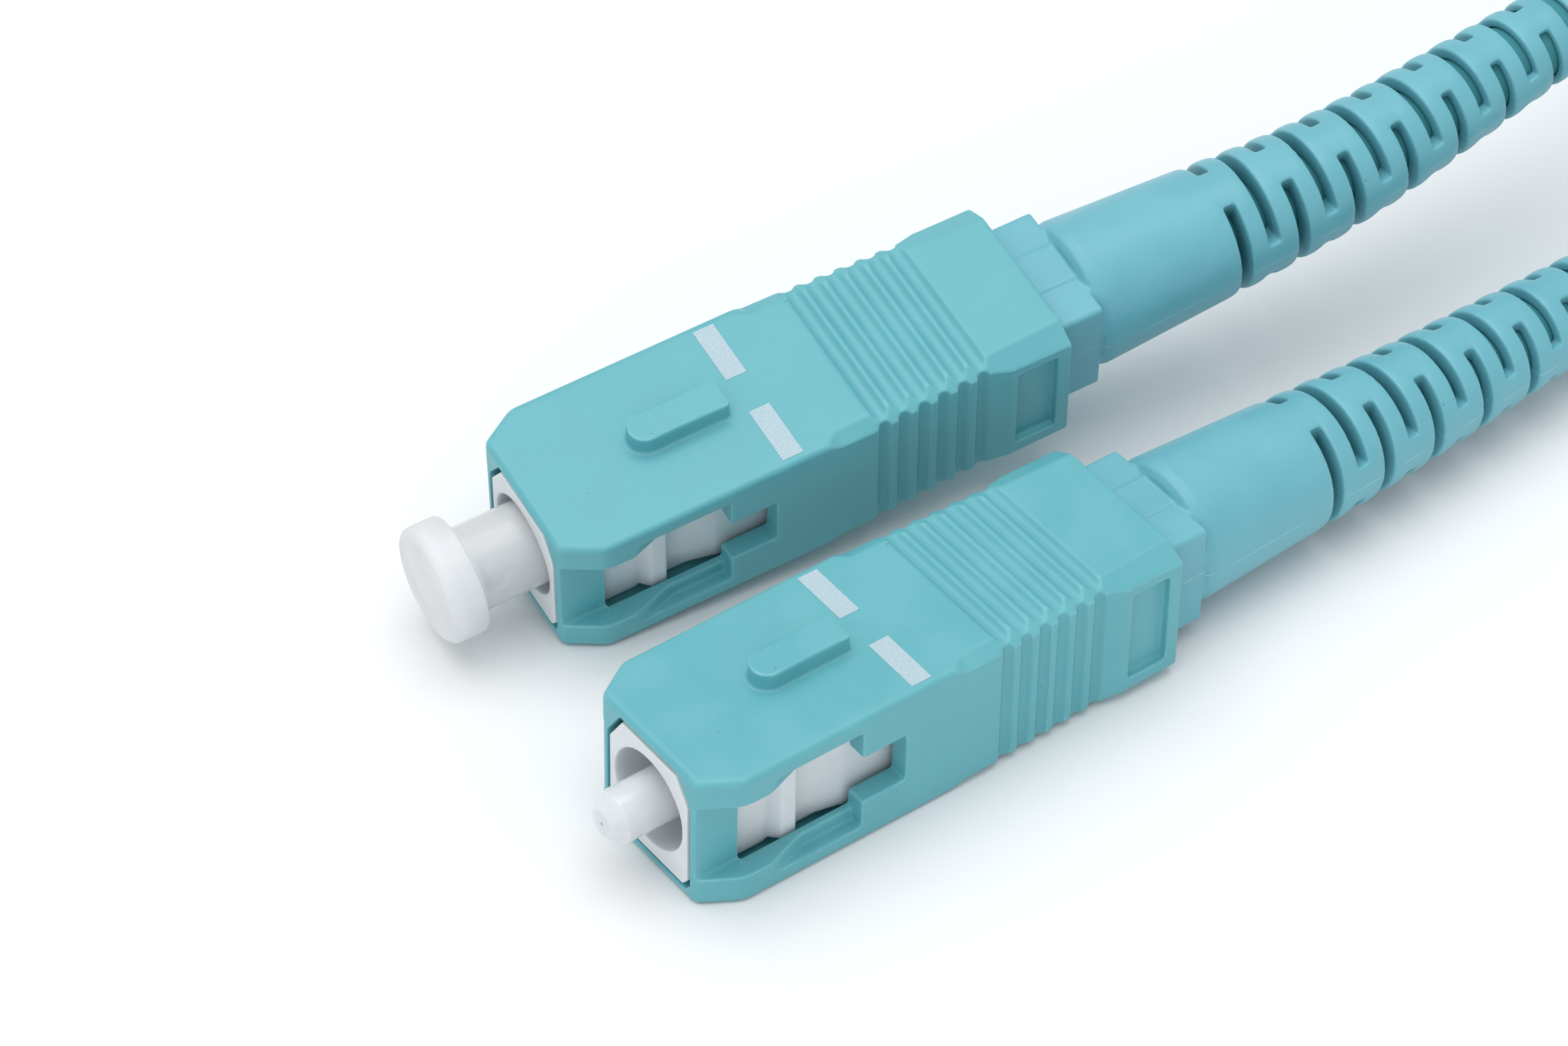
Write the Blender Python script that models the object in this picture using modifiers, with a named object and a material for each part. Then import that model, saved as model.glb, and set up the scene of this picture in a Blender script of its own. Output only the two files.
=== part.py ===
"""Fibre optic patch cord: two push-pull connectors on one 3 mm cable that is tied in a hank.

Lengths are in millimetres here and become metres in the scene. Each connector is modelled in its own
frame: x runs from the housing's front face to the rear along the ferrule axis, y across and z up.
"""

import math

import bmesh
import bpy
from mathutils import Euler, Matrix, Vector

MM = 0.001
GAP = 0.3

# How far cutters overlap each other and run past the faces that they open
LAP = 0.05
PAST = 1.0

# Points closer than this are one point, and edges that turn more than this, in degrees, are creases
WELD = 0.002
CREASE = 30.0
TUBE_CREASE = 70.0

# Placing: connector B lies flat, the stiff cable rolls connector A and lifts its rear.
CENTRE = (29.62, 7.89)
AXIS_HEIGHT = 3.7
CONNECTOR_A_FRONT = (4.17, 15.65, 4.16)
CONNECTOR_A_TURN = (9.0, -5.9, -7.4)
CONNECTOR_B_FRONT = (-0.3, 0.0, AXIS_HEIGHT)
CONNECTOR_B_TURN = (0.0, 0.0, 0.0)
BOOT_BEND_RADIUS = {"a": 64.5, "b": 176.0}
BOOT_BEND_LENGTH = {"a": 9.8, "b": 7.8}

# Outer housing
HOUSING_LENGTH = 25.6
HOUSING_HALF_WIDTH = 4.5
HOUSING_HALF_HEIGHT = 3.7
HOUSING_EDGE = 0.3
CORNER_LENGTH = 1.85
CORNER_WIDTH = 1.1
MOUTH_HALF_WIDTH = 3.0
MOUTH_HALF_HEIGHT = 3.25
MOUTH_CORNER = (0.9, 1.45)
MOUTH_LOW_CORNER = (0.35, 0.45)
PANEL_LENGTH = 2.3
PANEL_FACE = 3.33
CAVITY_HALF_WIDTH = 3.42
CAVITY_CORNER = (0.5, 0.5)
REAR_CAVITY_START = 12.62
REAR_CAVITY_HALF_WIDTH = 3.52
REAR_CAVITY_HALF_HEIGHT = 2.93
REAR_CAVITY_CORNER = (0.3, 0.3)
LIP_EDGE = 2.15
LIP_STRIP_FACE = 3.81
CAM_START = 3.23
CAM_END = 3.43
CAM_SLANT = 2.0
CAM_EDGE = 2.84
TAB_START = 8.07
TAB_EDGE = 1.32
WINDOW_END = 10.42
KEY_START = 5.43
KEY_END = 10.17
KEY_HALF_WIDTH = 0.82
KEY_CORNER = 0.22
KEY_TOP = 4.58
KEY_ROOT = 0.2
GRIP_CHAMFER_START = 12.8
GRIP_CHAMFER_RAMP = 0.9
GRIP_CHAMFER = (0.98, 0.55)
GRIP_CHAMFER_SHARES = (0.7, 1.17)
GRIP_TAPER_X = (15.4, 21.6, 22.5)
GRIP_TAPER = 0.3
GROOVES = 6
GROOVE_FIRST = 15.95
GROOVE_PITCH = 1.04
GROOVE_RADIUS = 0.5
TOP_GROOVE_DEPTH = 0.15
SIDE_GROOVE_DEPTH = 0.2
POCKET_X = (22.84, 24.89)
POCKET_Z = (-2.44, 2.54)
POCKET_DEPTH = 0.4

# Plug frame
FRAME_HALF_WIDTH = 2.8
FRAME_HALF_HEIGHT = 3.05
FRAME_CORNER = (0.85, 1.35)
FRAME_LOW_CORNER = (0.3, 0.4)
FRAME_TALL_END = 12.03
FRAME_LENGTH = 16.33
FRAME_REAR_HALF_WIDTH = 3.13
FRAME_REAR_HALF_HEIGHT = 2.64
FRAME_REAR_CORNER = (0.4, 0.4)
LATCH_START = 4.01
LATCH_ROOT = 2.64
SHOULDER_RAMP = 4.11
SHOULDER_START = 4.69
SHOULDER_END = 5.48
SHOULDER_HALF_WIDTH = 3.28
SHOULDER_TOP = 2.25
SHOULDER_BOTTOM = -2.55
WAIST_END = 6.26
WAIST_HALF_WIDTH = 2.74
WAIST_RISE_END = 8.0
FRAME_BORE = 2.44
FRAME_BORE_END = 7.82
WEB_HOLE = 1.56
WEB_END = 9.39
FRAME_REAR_BORE = 2.25

# Ferrule, flange and spring
FERRULE_RADIUS = 1.25
FERRULE_TIP = -2.4
FERRULE_TIP_RADIUS = 0.7
FERRULE_BEVEL = 0.59
FERRULE_END = 10.07
FERRULE_TRAVEL = 1.0
FLANGE_START = WEB_END + GAP
FLANGE_RADIUS = 1.96
FLANGE_SOCKET = 10.46
FLANGE_END = 11.25
FLANGE_TAIL_RADIUS = 1.17
FLANGE_TAIL_END = 13.99
FLANGE_BORE = 0.73
SPRING_START = 11.54
SPRING_END = 15.26
SPRING_MEAN_RADIUS = 1.68
SPRING_WIRE_RADIUS = 0.2
SPRING_CURLS = 4
SPRING_POINTS_PER_CURL = 10

# Stop ring, crimp ring and the fibre inside them
STOP_NOSE = 15.55
STOP_NOSE_RADIUS = 1.96
STOP_BODY = FRAME_LENGTH + GAP
STOP_BODY_RADIUS = 2.64
STOP_BODY_END = 18.88
STOP_BARREL_RADIUS = 1.42
STOP_BARREL_END = 23.67
STOP_BORE = 0.78
CRIMP_START = 19.27
CRIMP_END = 26.41
CRIMP_INNER = 1.76
CRIMP_OUTER = 2.05
CORE_START = 24.06
BUFFER_RADIUS = 0.45
BUFFER_START = FERRULE_END + GAP
BUFFER_END = CORE_START - FERRULE_TRAVEL - GAP

# Boot
COLLAR_START = 24.06
COLLAR_END = 28.0
COLLAR_HALF_WIDTH = 3.25
COLLAR_HALF_HEIGHT = 2.75
COLLAR_CORNER = (0.15, 0.15)
CONE_START = COLLAR_END - 2.0 * LAP
CONE_LEAD_RADIUS = 3.05
CONE_SHOULDER = 28.35
CONE_RADIUS = 3.54
TAIL_END = 58.2
TAIL_RADIUS = 2.05
BOOT_BORE = 1.76
BOOT_FRONT_BORE = 2.35
BOOT_FRONT_BORE_END = CRIMP_END + GAP
BEND_START = 37.2
SLOTS = 14
SLOT_FIRST = 35.95
SLOT_PITCH = 1.56
SLOT_WIDTH = 0.7
SLOT_ANGLE = 146.0
SLOT_APEX = 0.3
WEB_CENTRE_ANGLE = 0.0

# Dust cap
CAP_FRONT = -4.9
CAP_HEAD_END = -3.1
CAP_HEAD_RADIUS = 2.8
CAP_EDGE = 0.4
CAP_TUBE_RADIUS = 2.0
CAP_BORE = FERRULE_RADIUS + GAP
CAP_END = 5.4

# Cable, hank and tie
CABLE_RADIUS = 1.5
LEAD_SPACING = 7.5
HANK_CENTRE = (110.6, 6.6)
HANK_RUN = 35.3
HANK_OUTER_RADIUS = 13.7
HANK_TURN_PITCH = 3.7
HANK_LAYER_PITCH = 3.5
HANK_LAYERS = 4
HANK_LAYER_TURNS = 1.5
HANK_MEAN_RADIUS = HANK_OUTER_RADIUS - 0.5 * HANK_TURN_PITCH * HANK_LAYER_TURNS
HANK_WAIST = 4.0
HANK_CLIMB_TURNS = 0.25
HANK_POINTS_PER_TURN = 24
HANK_FIRST_POINT = -3
HANK_LAST_POINT = 135
TIE_THICKNESS = 0.5
TIE_HALF_WIDTH = 3.0
TIE_CLEARANCE = 0.6
TIE_CORNER = 1.0
TIE_INNER_CORNER = 0.7
HANK_BASE = TIE_THICKNESS + GAP + CABLE_RADIUS
HANK_TOP = HANK_BASE + (HANK_LAYERS - 1) * HANK_LAYER_PITCH

# Points that the free cable passes between each boot and the hank, from the front of connector B
LEAD_A_MIDDLE = ((68.2, 11.5, 11.3), (73.3, 13.5, 12.0), (78.6, 16.2, 12.5), (83.9, 18.3, 12.75))
LEAD_B_MIDDLE = ((65.0, 0.4, 3.6), (71.1, -1.6, 3.2), (76.9, -4.5, 2.8), (83.2, -6.9, 2.4))
LEAD_GUIDE = 6.0

ROUND_SIDES = 20
BORE_SIDES = 24
INNER_SIDES = 16
GROOVE_SIDES = 12
AROUND_X = Matrix.Rotation(math.radians(90.0), 4, "Y")


def clear_scene():
    for old in list(bpy.data.objects):
        bpy.data.objects.remove(old, do_unlink=True)


def collection(name):
    made = bpy.data.collections.new(name)
    bpy.context.scene.collection.children.link(made)
    return made


def material(name, colour, roughness, metallic=0.0, transmission=0.0):
    made = bpy.data.materials.new(name)
    made.use_nodes = True
    shader = made.node_tree.nodes["Principled BSDF"]
    shader.inputs["Base Color"].default_value = (*colour, 1.0)
    shader.inputs["Roughness"].default_value = roughness
    shader.inputs["Metallic"].default_value = metallic
    shader.inputs["Transmission Weight"].default_value = transmission
    made.diffuse_color = (*colour, 1.0)
    return made


def empty(name, location, turn, parent=None):
    made = bpy.data.objects.new(name, None)
    made.location = Vector(location) * MM
    made.rotation_euler = Euler([math.radians(angle) for angle in turn])
    made.parent = parent
    PARTS.objects.link(made)
    return made


def place(name, mesh, parent, look):
    """Put a finished mesh in the scene as a sub-part with its material."""
    made = bpy.data.objects.new(name, mesh)
    made.parent = parent
    mesh.materials.clear()
    mesh.materials.append(look)
    PARTS.objects.link(made)
    return made


def place_cutter(name, mesh, parent):
    made = bpy.data.objects.new(name, mesh)
    made.parent = parent
    made.hide_render = True
    made.display_type = "WIRE"
    CUTTERS.objects.link(made)
    return made


def combine(target, other, operation):
    modifier = target.modifiers.new(other.name, "BOOLEAN")
    modifier.operation = operation
    modifier.object = other
    modifier.solver = "EXACT"


def evaluated_mesh(scene_object):
    """Mesh of an object as its modifiers shape it, welded, in the object's own coordinates."""
    graph = bpy.context.evaluated_depsgraph_get()
    mesh = bpy.data.meshes.new_from_object(scene_object.evaluated_get(graph))
    work = bmesh.new()
    work.from_mesh(mesh)
    bmesh.ops.remove_doubles(work, verts=work.verts, dist=WELD * MM)
    bmesh.ops.recalc_face_normals(work, faces=work.faces)
    work.to_mesh(mesh)
    work.free()
    return mesh


def curve_mesh(curve):
    """Turn a curve datablock into a welded mesh and remove the curve."""
    holder = bpy.data.objects.new("curve", curve)
    PARTS.objects.link(holder)
    mesh = evaluated_mesh(holder)
    bpy.data.objects.remove(holder, do_unlink=True)
    bpy.data.curves.remove(curve)
    return mesh


def joined(name, meshes):
    """One mesh that holds several separate bodies."""
    work = bmesh.new()
    for mesh in meshes:
        work.from_mesh(mesh)
        bpy.data.meshes.remove(mesh)
    made = bpy.data.meshes.new(name)
    work.to_mesh(made)
    work.free()
    return made


def prism(outline, low, high, axis):
    """Extrude an outline along an axis: (y, z) points along x, (x, z) along y, (x, y) along z."""
    curve = bpy.data.curves.new("outline", "CURVE")
    curve.dimensions = "2D"
    curve.fill_mode = "BOTH"
    curve.extrude = 0.5 * (high - low) * MM
    spline = curve.splines.new("POLY")
    spline.points.add(len(outline) - 1)
    for point, (across, up) in zip(spline.points, outline):
        point.co = (across * MM, up * MM, 0.0, 1.0)
    spline.use_cyclic_u = True
    mesh = curve_mesh(curve)
    middle = 0.5 * (low + high) * MM
    if axis == "x":
        turn = Matrix(((0, 0, 1, middle), (1, 0, 0, 0), (0, 1, 0, 0), (0, 0, 0, 1)))
    elif axis == "y":
        turn = Matrix(((1, 0, 0, 0), (0, 0, -1, middle), (0, 1, 0, 0), (0, 0, 0, 1)))
    else:
        turn = Matrix.Translation((0.0, 0.0, middle))
    mesh.transform(turn)
    return mesh


def box(x_range, y_range, z_range):
    low = Vector((x_range[0], y_range[0], z_range[0])) * MM
    high = Vector((x_range[1], y_range[1], z_range[1])) * MM
    work = bmesh.new()
    bmesh.ops.create_cube(work, size=1.0)
    bmesh.ops.scale(work, vec=high - low, verts=work.verts)
    bmesh.ops.translate(work, vec=0.5 * (low + high), verts=work.verts)
    mesh = bpy.data.meshes.new("box")
    work.to_mesh(mesh)
    work.free()
    return mesh


def cylinder(radius, low, high, axis, sides=ROUND_SIDES):
    """Cylinder on the origin along one axis, from low to high."""
    work = bmesh.new()
    depth = (high - low) * MM
    bmesh.ops.create_cone(
        work, cap_ends=True, segments=sides, radius1=radius * MM, radius2=radius * MM, depth=depth
    )
    bmesh.ops.translate(work, vec=(0.0, 0.0, 0.5 * (low + high) * MM), verts=work.verts)
    if axis != "z":
        turn = Matrix.Rotation(math.radians(90.0), 3, "Y" if axis == "x" else "X")
        bmesh.ops.transform(work, matrix=turn, verts=work.verts)
    mesh = bpy.data.meshes.new("cylinder")
    work.to_mesh(mesh)
    work.free()
    return mesh


def turned(profile, sides=ROUND_SIDES, closed=False):
    """Turn (x, radius) points about the connector's axis. The points run from the rear to the front
    on the outside, and back on the inside where the piece is hollow."""
    work = bmesh.new()
    points = [work.verts.new((radius * MM, 0.0, along * MM)) for along, radius in profile]
    for first, second in zip(points, points[1:]):
        work.edges.new((first, second))
    if closed:
        work.edges.new((points[-1], points[0]))
    mesh = bpy.data.meshes.new("profile")
    work.to_mesh(mesh)
    work.free()
    holder = bpy.data.objects.new("profile", mesh)
    PARTS.objects.link(holder)
    screw = holder.modifiers.new("turn", "SCREW")
    screw.steps = sides
    screw.render_steps = sides
    screw.use_merge_vertices = True
    screw.merge_threshold = WELD * MM
    made = evaluated_mesh(holder)
    bpy.data.objects.remove(holder, do_unlink=True)
    made.transform(AROUND_X)
    made.shade_smooth()
    made.set_sharp_from_angle(angle=math.radians(CREASE))
    return made


def tube(points, radius, resolution):
    curve = bpy.data.curves.new("tube", "CURVE")
    curve.dimensions = "3D"
    curve.bevel_depth = radius * MM
    curve.bevel_resolution = resolution
    curve.use_fill_caps = True
    spline = curve.splines.new("POLY")
    spline.points.add(len(points) - 1)
    for point, place_mm in zip(spline.points, points):
        point.co = (*(Vector(place_mm) * MM), 1.0)
    mesh = curve_mesh(curve)
    mesh.shade_smooth()
    mesh.set_sharp_from_angle(angle=math.radians(TUBE_CREASE))
    return mesh


def rectangle(half_width, half_height, corner, low_corner=None):
    """Outline of a rectangle on the origin with its corners cut off, the lower two by low_corner if given."""
    cut_across, cut_up = corner
    low_across, low_up = low_corner or corner
    right = [
        (half_width - low_across, -half_height),
        (half_width, low_up - half_height),
        (half_width, half_height - cut_up),
        (half_width - cut_across, half_height),
    ]
    return right + [(-across, up) for across, up in reversed(right)]


def mirrored(outline):
    """Close a half outline, given from front to rear at positive y, by its mirror image."""
    return outline + [(along, -across) for along, across in reversed(outline)]


def both_sides(make):
    """Meshes of a left and a right copy: make(side) gets 1 and then -1."""
    return [make(1), make(-1)]


def least_gap(points, radius, neighbours):
    """Least clear distance between stretches of a tube that are not next to each other along it."""
    least = math.inf
    for index, point in enumerate(points):
        for other in points[index + neighbours :]:
            least = min(least, (point - other).length)
    return least - 2.0 * radius


def route_length(points):
    return sum((second - first).length for first, second in zip(points, points[1:]))


def housing_window_cutter(side):
    """Side opening of the housing: panel recess, latch window, cam ramps and narrow end between tabs."""
    inner = LIP_STRIP_FACE
    outer = HOUSING_HALF_WIDTH + PAST
    half = [
        (-PAST, LIP_EDGE),
        (CAM_START, LIP_EDGE),
        (CAM_END, CAM_EDGE),
        (TAB_START, CAM_EDGE),
    ]
    cam = prism(mirrored(half), *sorted((side * inner, side * outer)), "y")
    for vertex in cam.vertices:
        near_strip = abs(vertex.co.y) < (inner + LAP) * MM
        if near_strip and 0.0 < vertex.co.x < (TAB_START - LAP) * MM:
            vertex.co.x += CAM_SLANT * MM
    lips = (LAP - LIP_EDGE, LIP_EDGE - LAP)
    tabs = (-TAB_EDGE, TAB_EDGE)
    inside = CAVITY_HALF_WIDTH - PAST
    panel = box((-PAST, PANEL_LENGTH + LAP), sorted((side * PANEL_FACE, side * (inner + LAP))), lips)
    window = box((PANEL_LENGTH, TAB_START), sorted((side * inside, side * (inner + LAP))), lips)
    narrow = box((TAB_START - LAP, WINDOW_END), sorted((side * inside, side * outer)), tabs)
    return cam, panel, window, narrow


def chamfer_wedge(corner_signs, front, rear):
    """Wedge along one long edge of the housing between two stations, each given as its place along the
    housing, the chamfer's share of its full size there and how far the wedge stands off the side."""
    across, down = GRIP_CHAMFER
    side, up = corner_signs
    outline = [(-2.0 * across, down), (across, -2.0 * down), (across, down)]
    wedge = prism(outline, front[0], rear[0], "x")
    middle = 0.5 * (front[0] + rear[0]) * MM
    for vertex in wedge.vertices:
        _, share, stand_off = front if vertex.co.x < middle else rear
        vertex.co.y = side * (vertex.co.y * share + (HOUSING_HALF_WIDTH + stand_off) * MM)
        vertex.co.z = up * (vertex.co.z * share + HOUSING_HALF_HEIGHT * MM)
    if side * up < 0:
        wedge.flip_normals()
    return wedge


def housing_chamfer_cutters():
    """Bevels on the four long edges over the grip, which start on a ramp and widen toward the rear."""
    front_share, rear_share = GRIP_CHAMFER_SHARES
    ramp_end = GRIP_CHAMFER_START + GRIP_CHAMFER_RAMP
    start = (GRIP_CHAMFER_START, front_share, GRIP_CHAMFER[0] * front_share)
    full = (ramp_end, front_share, 0.0)
    end = (HOUSING_LENGTH + PAST, rear_share, 0.0)
    corners = [(side, up) for side in (1, -1) for up in (1, -1)]
    ramps = [chamfer_wedge(corner, start, full) for corner in corners]
    runs = [chamfer_wedge(corner, full, end) for corner in corners]
    return ramps, runs


def housing_taper_cutter(side):
    """Wedge that draws a side of the grip in toward the rear and lets it out again before the pocket."""
    start, deepest, end = GRIP_TAPER_X
    outside = HOUSING_HALF_WIDTH + LAP
    outline = [
        (start - LAP * (deepest - start) / GRIP_TAPER, outside),
        (deepest, HOUSING_HALF_WIDTH - GRIP_TAPER),
        (end + LAP * (end - deepest) / GRIP_TAPER, outside),
    ]
    reach = HOUSING_HALF_HEIGHT + PAST
    return prism([(along, side * across) for along, across in outline], -reach, reach, "z")


def housing_groove_cutters():
    """Round grooves right across the top and bottom and up the tapered sides of the grip."""
    taper_start, deepest, _ = GRIP_TAPER_X
    top_reach = HOUSING_HALF_WIDTH + PAST
    side_reach = HOUSING_HALF_HEIGHT + PAST
    top_grooves, side_grooves = [], []
    for index in range(GROOVES):
        along = GROOVE_FIRST + index * GROOVE_PITCH
        top = HOUSING_HALF_HEIGHT + GROOVE_RADIUS - TOP_GROOVE_DEPTH
        drawn_in = GRIP_TAPER * (along - taper_start) / (deepest - taper_start)
        side = HOUSING_HALF_WIDTH - drawn_in + GROOVE_RADIUS - SIDE_GROOVE_DEPTH
        for sign in (1, -1):
            across = cylinder(GROOVE_RADIUS, -top_reach, top_reach, "y", GROOVE_SIDES)
            across.transform(Matrix.Translation((along * MM, 0.0, sign * top * MM)))
            upright = cylinder(GROOVE_RADIUS, -side_reach, side_reach, "z", GROOVE_SIDES)
            upright.transform(Matrix.Translation((along * MM, sign * side * MM, 0.0)))
            top_grooves.append(across)
            side_grooves.append(upright)
    return top_grooves, side_grooves


def housing_pocket_cutter(side):
    floor = HOUSING_HALF_WIDTH - POCKET_DEPTH
    return box(POCKET_X, sorted((side * floor, side * (HOUSING_HALF_WIDTH + PAST))), POCKET_Z)


def outer_housing(end, parent):
    half_outline = [
        (0.0, HOUSING_HALF_WIDTH - CORNER_WIDTH),
        (CORNER_LENGTH, HOUSING_HALF_WIDTH),
        (HOUSING_LENGTH, HOUSING_HALF_WIDTH),
    ]
    body = prism(mirrored(half_outline), -HOUSING_HALF_HEIGHT, HOUSING_HALF_HEIGHT, "z")
    housing = place(f"outer_housing_{end}", body, parent, LOOKS["housing"])
    round_edges(housing, HOUSING_EDGE, segments=2)

    key_steps = 8
    key_nose = KEY_START + KEY_HALF_WIDTH
    nose = [math.radians(90.0 + 180.0 * step / key_steps) for step in range(key_steps + 1)]
    key_outline = [
        (KEY_END - KEY_CORNER, -KEY_HALF_WIDTH),
        (KEY_END, KEY_CORNER - KEY_HALF_WIDTH),
        (KEY_END, KEY_HALF_WIDTH - KEY_CORNER),
        (KEY_END - KEY_CORNER, KEY_HALF_WIDTH),
    ]
    key_outline += [
        (key_nose + KEY_HALF_WIDTH * math.cos(angle), KEY_HALF_WIDTH * math.sin(angle)) for angle in nose
    ]
    key_bar = prism(key_outline, HOUSING_HALF_HEIGHT - KEY_ROOT, KEY_TOP, "z")
    combine(housing, place_cutter(f"key_bar_{end}", key_bar, parent), "UNION")

    mouth_outline = rectangle(MOUTH_HALF_WIDTH, MOUTH_HALF_HEIGHT, MOUTH_CORNER, MOUTH_LOW_CORNER)
    cavity_outline = rectangle(CAVITY_HALF_WIDTH, MOUTH_HALF_HEIGHT, CAVITY_CORNER)
    rear_outline = rectangle(REAR_CAVITY_HALF_WIDTH, REAR_CAVITY_HALF_HEIGHT, REAR_CAVITY_CORNER)
    mouth = prism(mouth_outline, -PAST, PANEL_LENGTH, "x")
    cavity = prism(cavity_outline, PANEL_LENGTH - LAP, REAR_CAVITY_START + LAP, "x")
    rear = prism(rear_outline, REAR_CAVITY_START, HOUSING_LENGTH + PAST, "x")
    for name, mesh in (("mouth", mouth), ("cavity", cavity), ("rear_cavity", rear)):
        combine(housing, place_cutter(f"{name}_{end}", mesh, parent), "DIFFERENCE")
    for name, pair in zip(("cam", "panel", "window", "narrow"), zip(*both_sides(housing_window_cutter))):
        cutter = place_cutter(f"{name}_{end}", joined(name, pair), parent)
        combine(housing, cutter, "DIFFERENCE")
    ramps, runs = housing_chamfer_cutters()
    top_grooves, side_grooves = housing_groove_cutters()
    grip_cuts = (
        ("grip_ramps", ramps),
        ("grip_chamfers", runs),
        ("grip_tapers", both_sides(housing_taper_cutter)),
        ("top_grooves", top_grooves),
        ("side_grooves", side_grooves),
        ("pockets", both_sides(housing_pocket_cutter)),
    )
    for name, meshes in grip_cuts:
        cutter = place_cutter(f"{name}_{end}", joined(name, meshes), parent)
        combine(housing, cutter, "DIFFERENCE")


def round_edges(scene_object, width, segments):
    """Bevel the sharp edges, and split the strips so that every face is flat for the cuts that follow."""
    modifier = scene_object.modifiers.new("rounded edges", "BEVEL")
    modifier.width = width * MM
    modifier.segments = segments
    modifier.limit_method = "ANGLE"
    modifier.angle_limit = math.radians(CREASE)
    scene_object.modifiers.new("flat faces", "TRIANGULATE")


def plug_frame(end, parent):
    half_outline = [
        (LATCH_START, LATCH_ROOT),
        (SHOULDER_RAMP, LATCH_ROOT),
        (SHOULDER_START, SHOULDER_HALF_WIDTH),
        (SHOULDER_END, SHOULDER_HALF_WIDTH),
        (SHOULDER_END, WAIST_HALF_WIDTH),
        (WAIST_END, WAIST_HALF_WIDTH),
        (WAIST_RISE_END, FRAME_REAR_HALF_WIDTH),
        (FRAME_LENGTH, FRAME_REAR_HALF_WIDTH),
    ]
    latched = prism(mirrored(half_outline), SHOULDER_BOTTOM, SHOULDER_TOP, "z")
    frame = place(f"plug_frame_{end}", latched, parent, LOOKS["frame"])
    corners = (FRAME_CORNER, FRAME_LOW_CORNER)
    front_outline = rectangle(FRAME_HALF_WIDTH, FRAME_HALF_HEIGHT, *corners)
    tall_outline = rectangle(WAIST_HALF_WIDTH - LAP, FRAME_HALF_HEIGHT, *corners)
    rear_outline = rectangle(FRAME_REAR_HALF_WIDTH - LAP, FRAME_REAR_HALF_HEIGHT, FRAME_REAR_CORNER)
    front = prism(front_outline, 0.0, SHOULDER_RAMP + LAP, "x")
    tall = prism(tall_outline, SHOULDER_RAMP - LAP, FRAME_TALL_END, "x")
    rear = prism(rear_outline, WAIST_RISE_END, FRAME_LENGTH, "x")
    for name, mesh in (("frame_front", front), ("frame_tall", tall), ("frame_rear", rear)):
        combine(frame, place_cutter(f"{name}_{end}", mesh, parent), "UNION")
    bores = (
        ("frame_bore", FRAME_BORE, -PAST, FRAME_BORE_END),
        ("frame_web_hole", WEB_HOLE, FRAME_BORE_END - LAP, WEB_END + LAP),
        ("frame_rear_bore", FRAME_REAR_BORE, WEB_END, FRAME_LENGTH + PAST),
    )
    for name, radius, low, high in bores:
        bore = cylinder(radius, low, high, "x", BORE_SIDES)
        combine(frame, place_cutter(f"{name}_{end}", bore, parent), "DIFFERENCE")


def ferrule(end, parent):
    profile = [
        (FERRULE_END, 0.0),
        (FERRULE_END, FERRULE_RADIUS),
        (FERRULE_TIP + FERRULE_BEVEL, FERRULE_RADIUS),
        (FERRULE_TIP, FERRULE_TIP_RADIUS),
        (FERRULE_TIP, 0.0),
    ]
    place(f"ferrule_{end}", turned(profile), parent, LOOKS["ferrule"])


def ferrule_flange(end, parent):
    profile = [
        (FLANGE_TAIL_END, FLANGE_TAIL_RADIUS),
        (FLANGE_END, FLANGE_TAIL_RADIUS),
        (FLANGE_END, FLANGE_RADIUS),
        (FLANGE_START, FLANGE_RADIUS),
        (FLANGE_START, FERRULE_RADIUS + GAP),
        (FLANGE_SOCKET, FERRULE_RADIUS + GAP),
        (FLANGE_SOCKET, FLANGE_BORE),
        (FLANGE_TAIL_END, FLANGE_BORE),
    ]
    place(f"ferrule_flange_{end}", turned(profile, INNER_SIDES, closed=True), parent, LOOKS["metal"])


def spring(end, parent):
    """Compression spring between the ferrule's flange and the stop ring."""
    count = SPRING_CURLS * SPRING_POINTS_PER_CURL
    low = SPRING_START + SPRING_WIRE_RADIUS
    high = SPRING_END - SPRING_WIRE_RADIUS
    points = []
    for index in range(count + 1):
        share = index / count
        angle = 2.0 * math.pi * SPRING_CURLS * share
        across = SPRING_MEAN_RADIUS * math.cos(angle)
        up = SPRING_MEAN_RADIUS * math.sin(angle)
        points.append(Vector((low + (high - low) * share, across, up)))
    gap = least_gap(points, SPRING_WIRE_RADIUS, SPRING_POINTS_PER_CURL // 2)
    print(f"spring_{end}: least gap to itself {gap:.2f} mm")
    place(f"spring_{end}", tube(points, SPRING_WIRE_RADIUS, resolution=1), parent, LOOKS["metal"])


def stop_ring(end, parent):
    profile = [
        (STOP_BARREL_END, STOP_BARREL_RADIUS),
        (STOP_BODY_END, STOP_BARREL_RADIUS),
        (STOP_BODY_END, STOP_BODY_RADIUS),
        (STOP_BODY, STOP_BODY_RADIUS),
        (STOP_BODY, STOP_NOSE_RADIUS),
        (STOP_NOSE, STOP_NOSE_RADIUS),
        (STOP_NOSE, STOP_BORE),
        (STOP_BARREL_END, STOP_BORE),
    ]
    place(f"stop_ring_{end}", turned(profile, INNER_SIDES, closed=True), parent, LOOKS["metal"])


def crimp_ring(end, parent):
    profile = [
        (CRIMP_END, CRIMP_OUTER),
        (CRIMP_START, CRIMP_OUTER),
        (CRIMP_START, CRIMP_INNER),
        (CRIMP_END, CRIMP_INNER),
    ]
    place(f"crimp_ring_{end}", turned(profile, INNER_SIDES, closed=True), parent, LOOKS["metal"])


def fibre_buffer(end, parent):
    """Coated fibre that floats with the ferrule, so it ends short of the cable by the ferrule's travel."""
    points = [(BUFFER_START, 0.0, 0.0), (BUFFER_END, 0.0, 0.0)]
    place(f"fibre_buffer_{end}", tube(points, BUFFER_RADIUS, resolution=1), parent, LOOKS["cable"])


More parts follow.
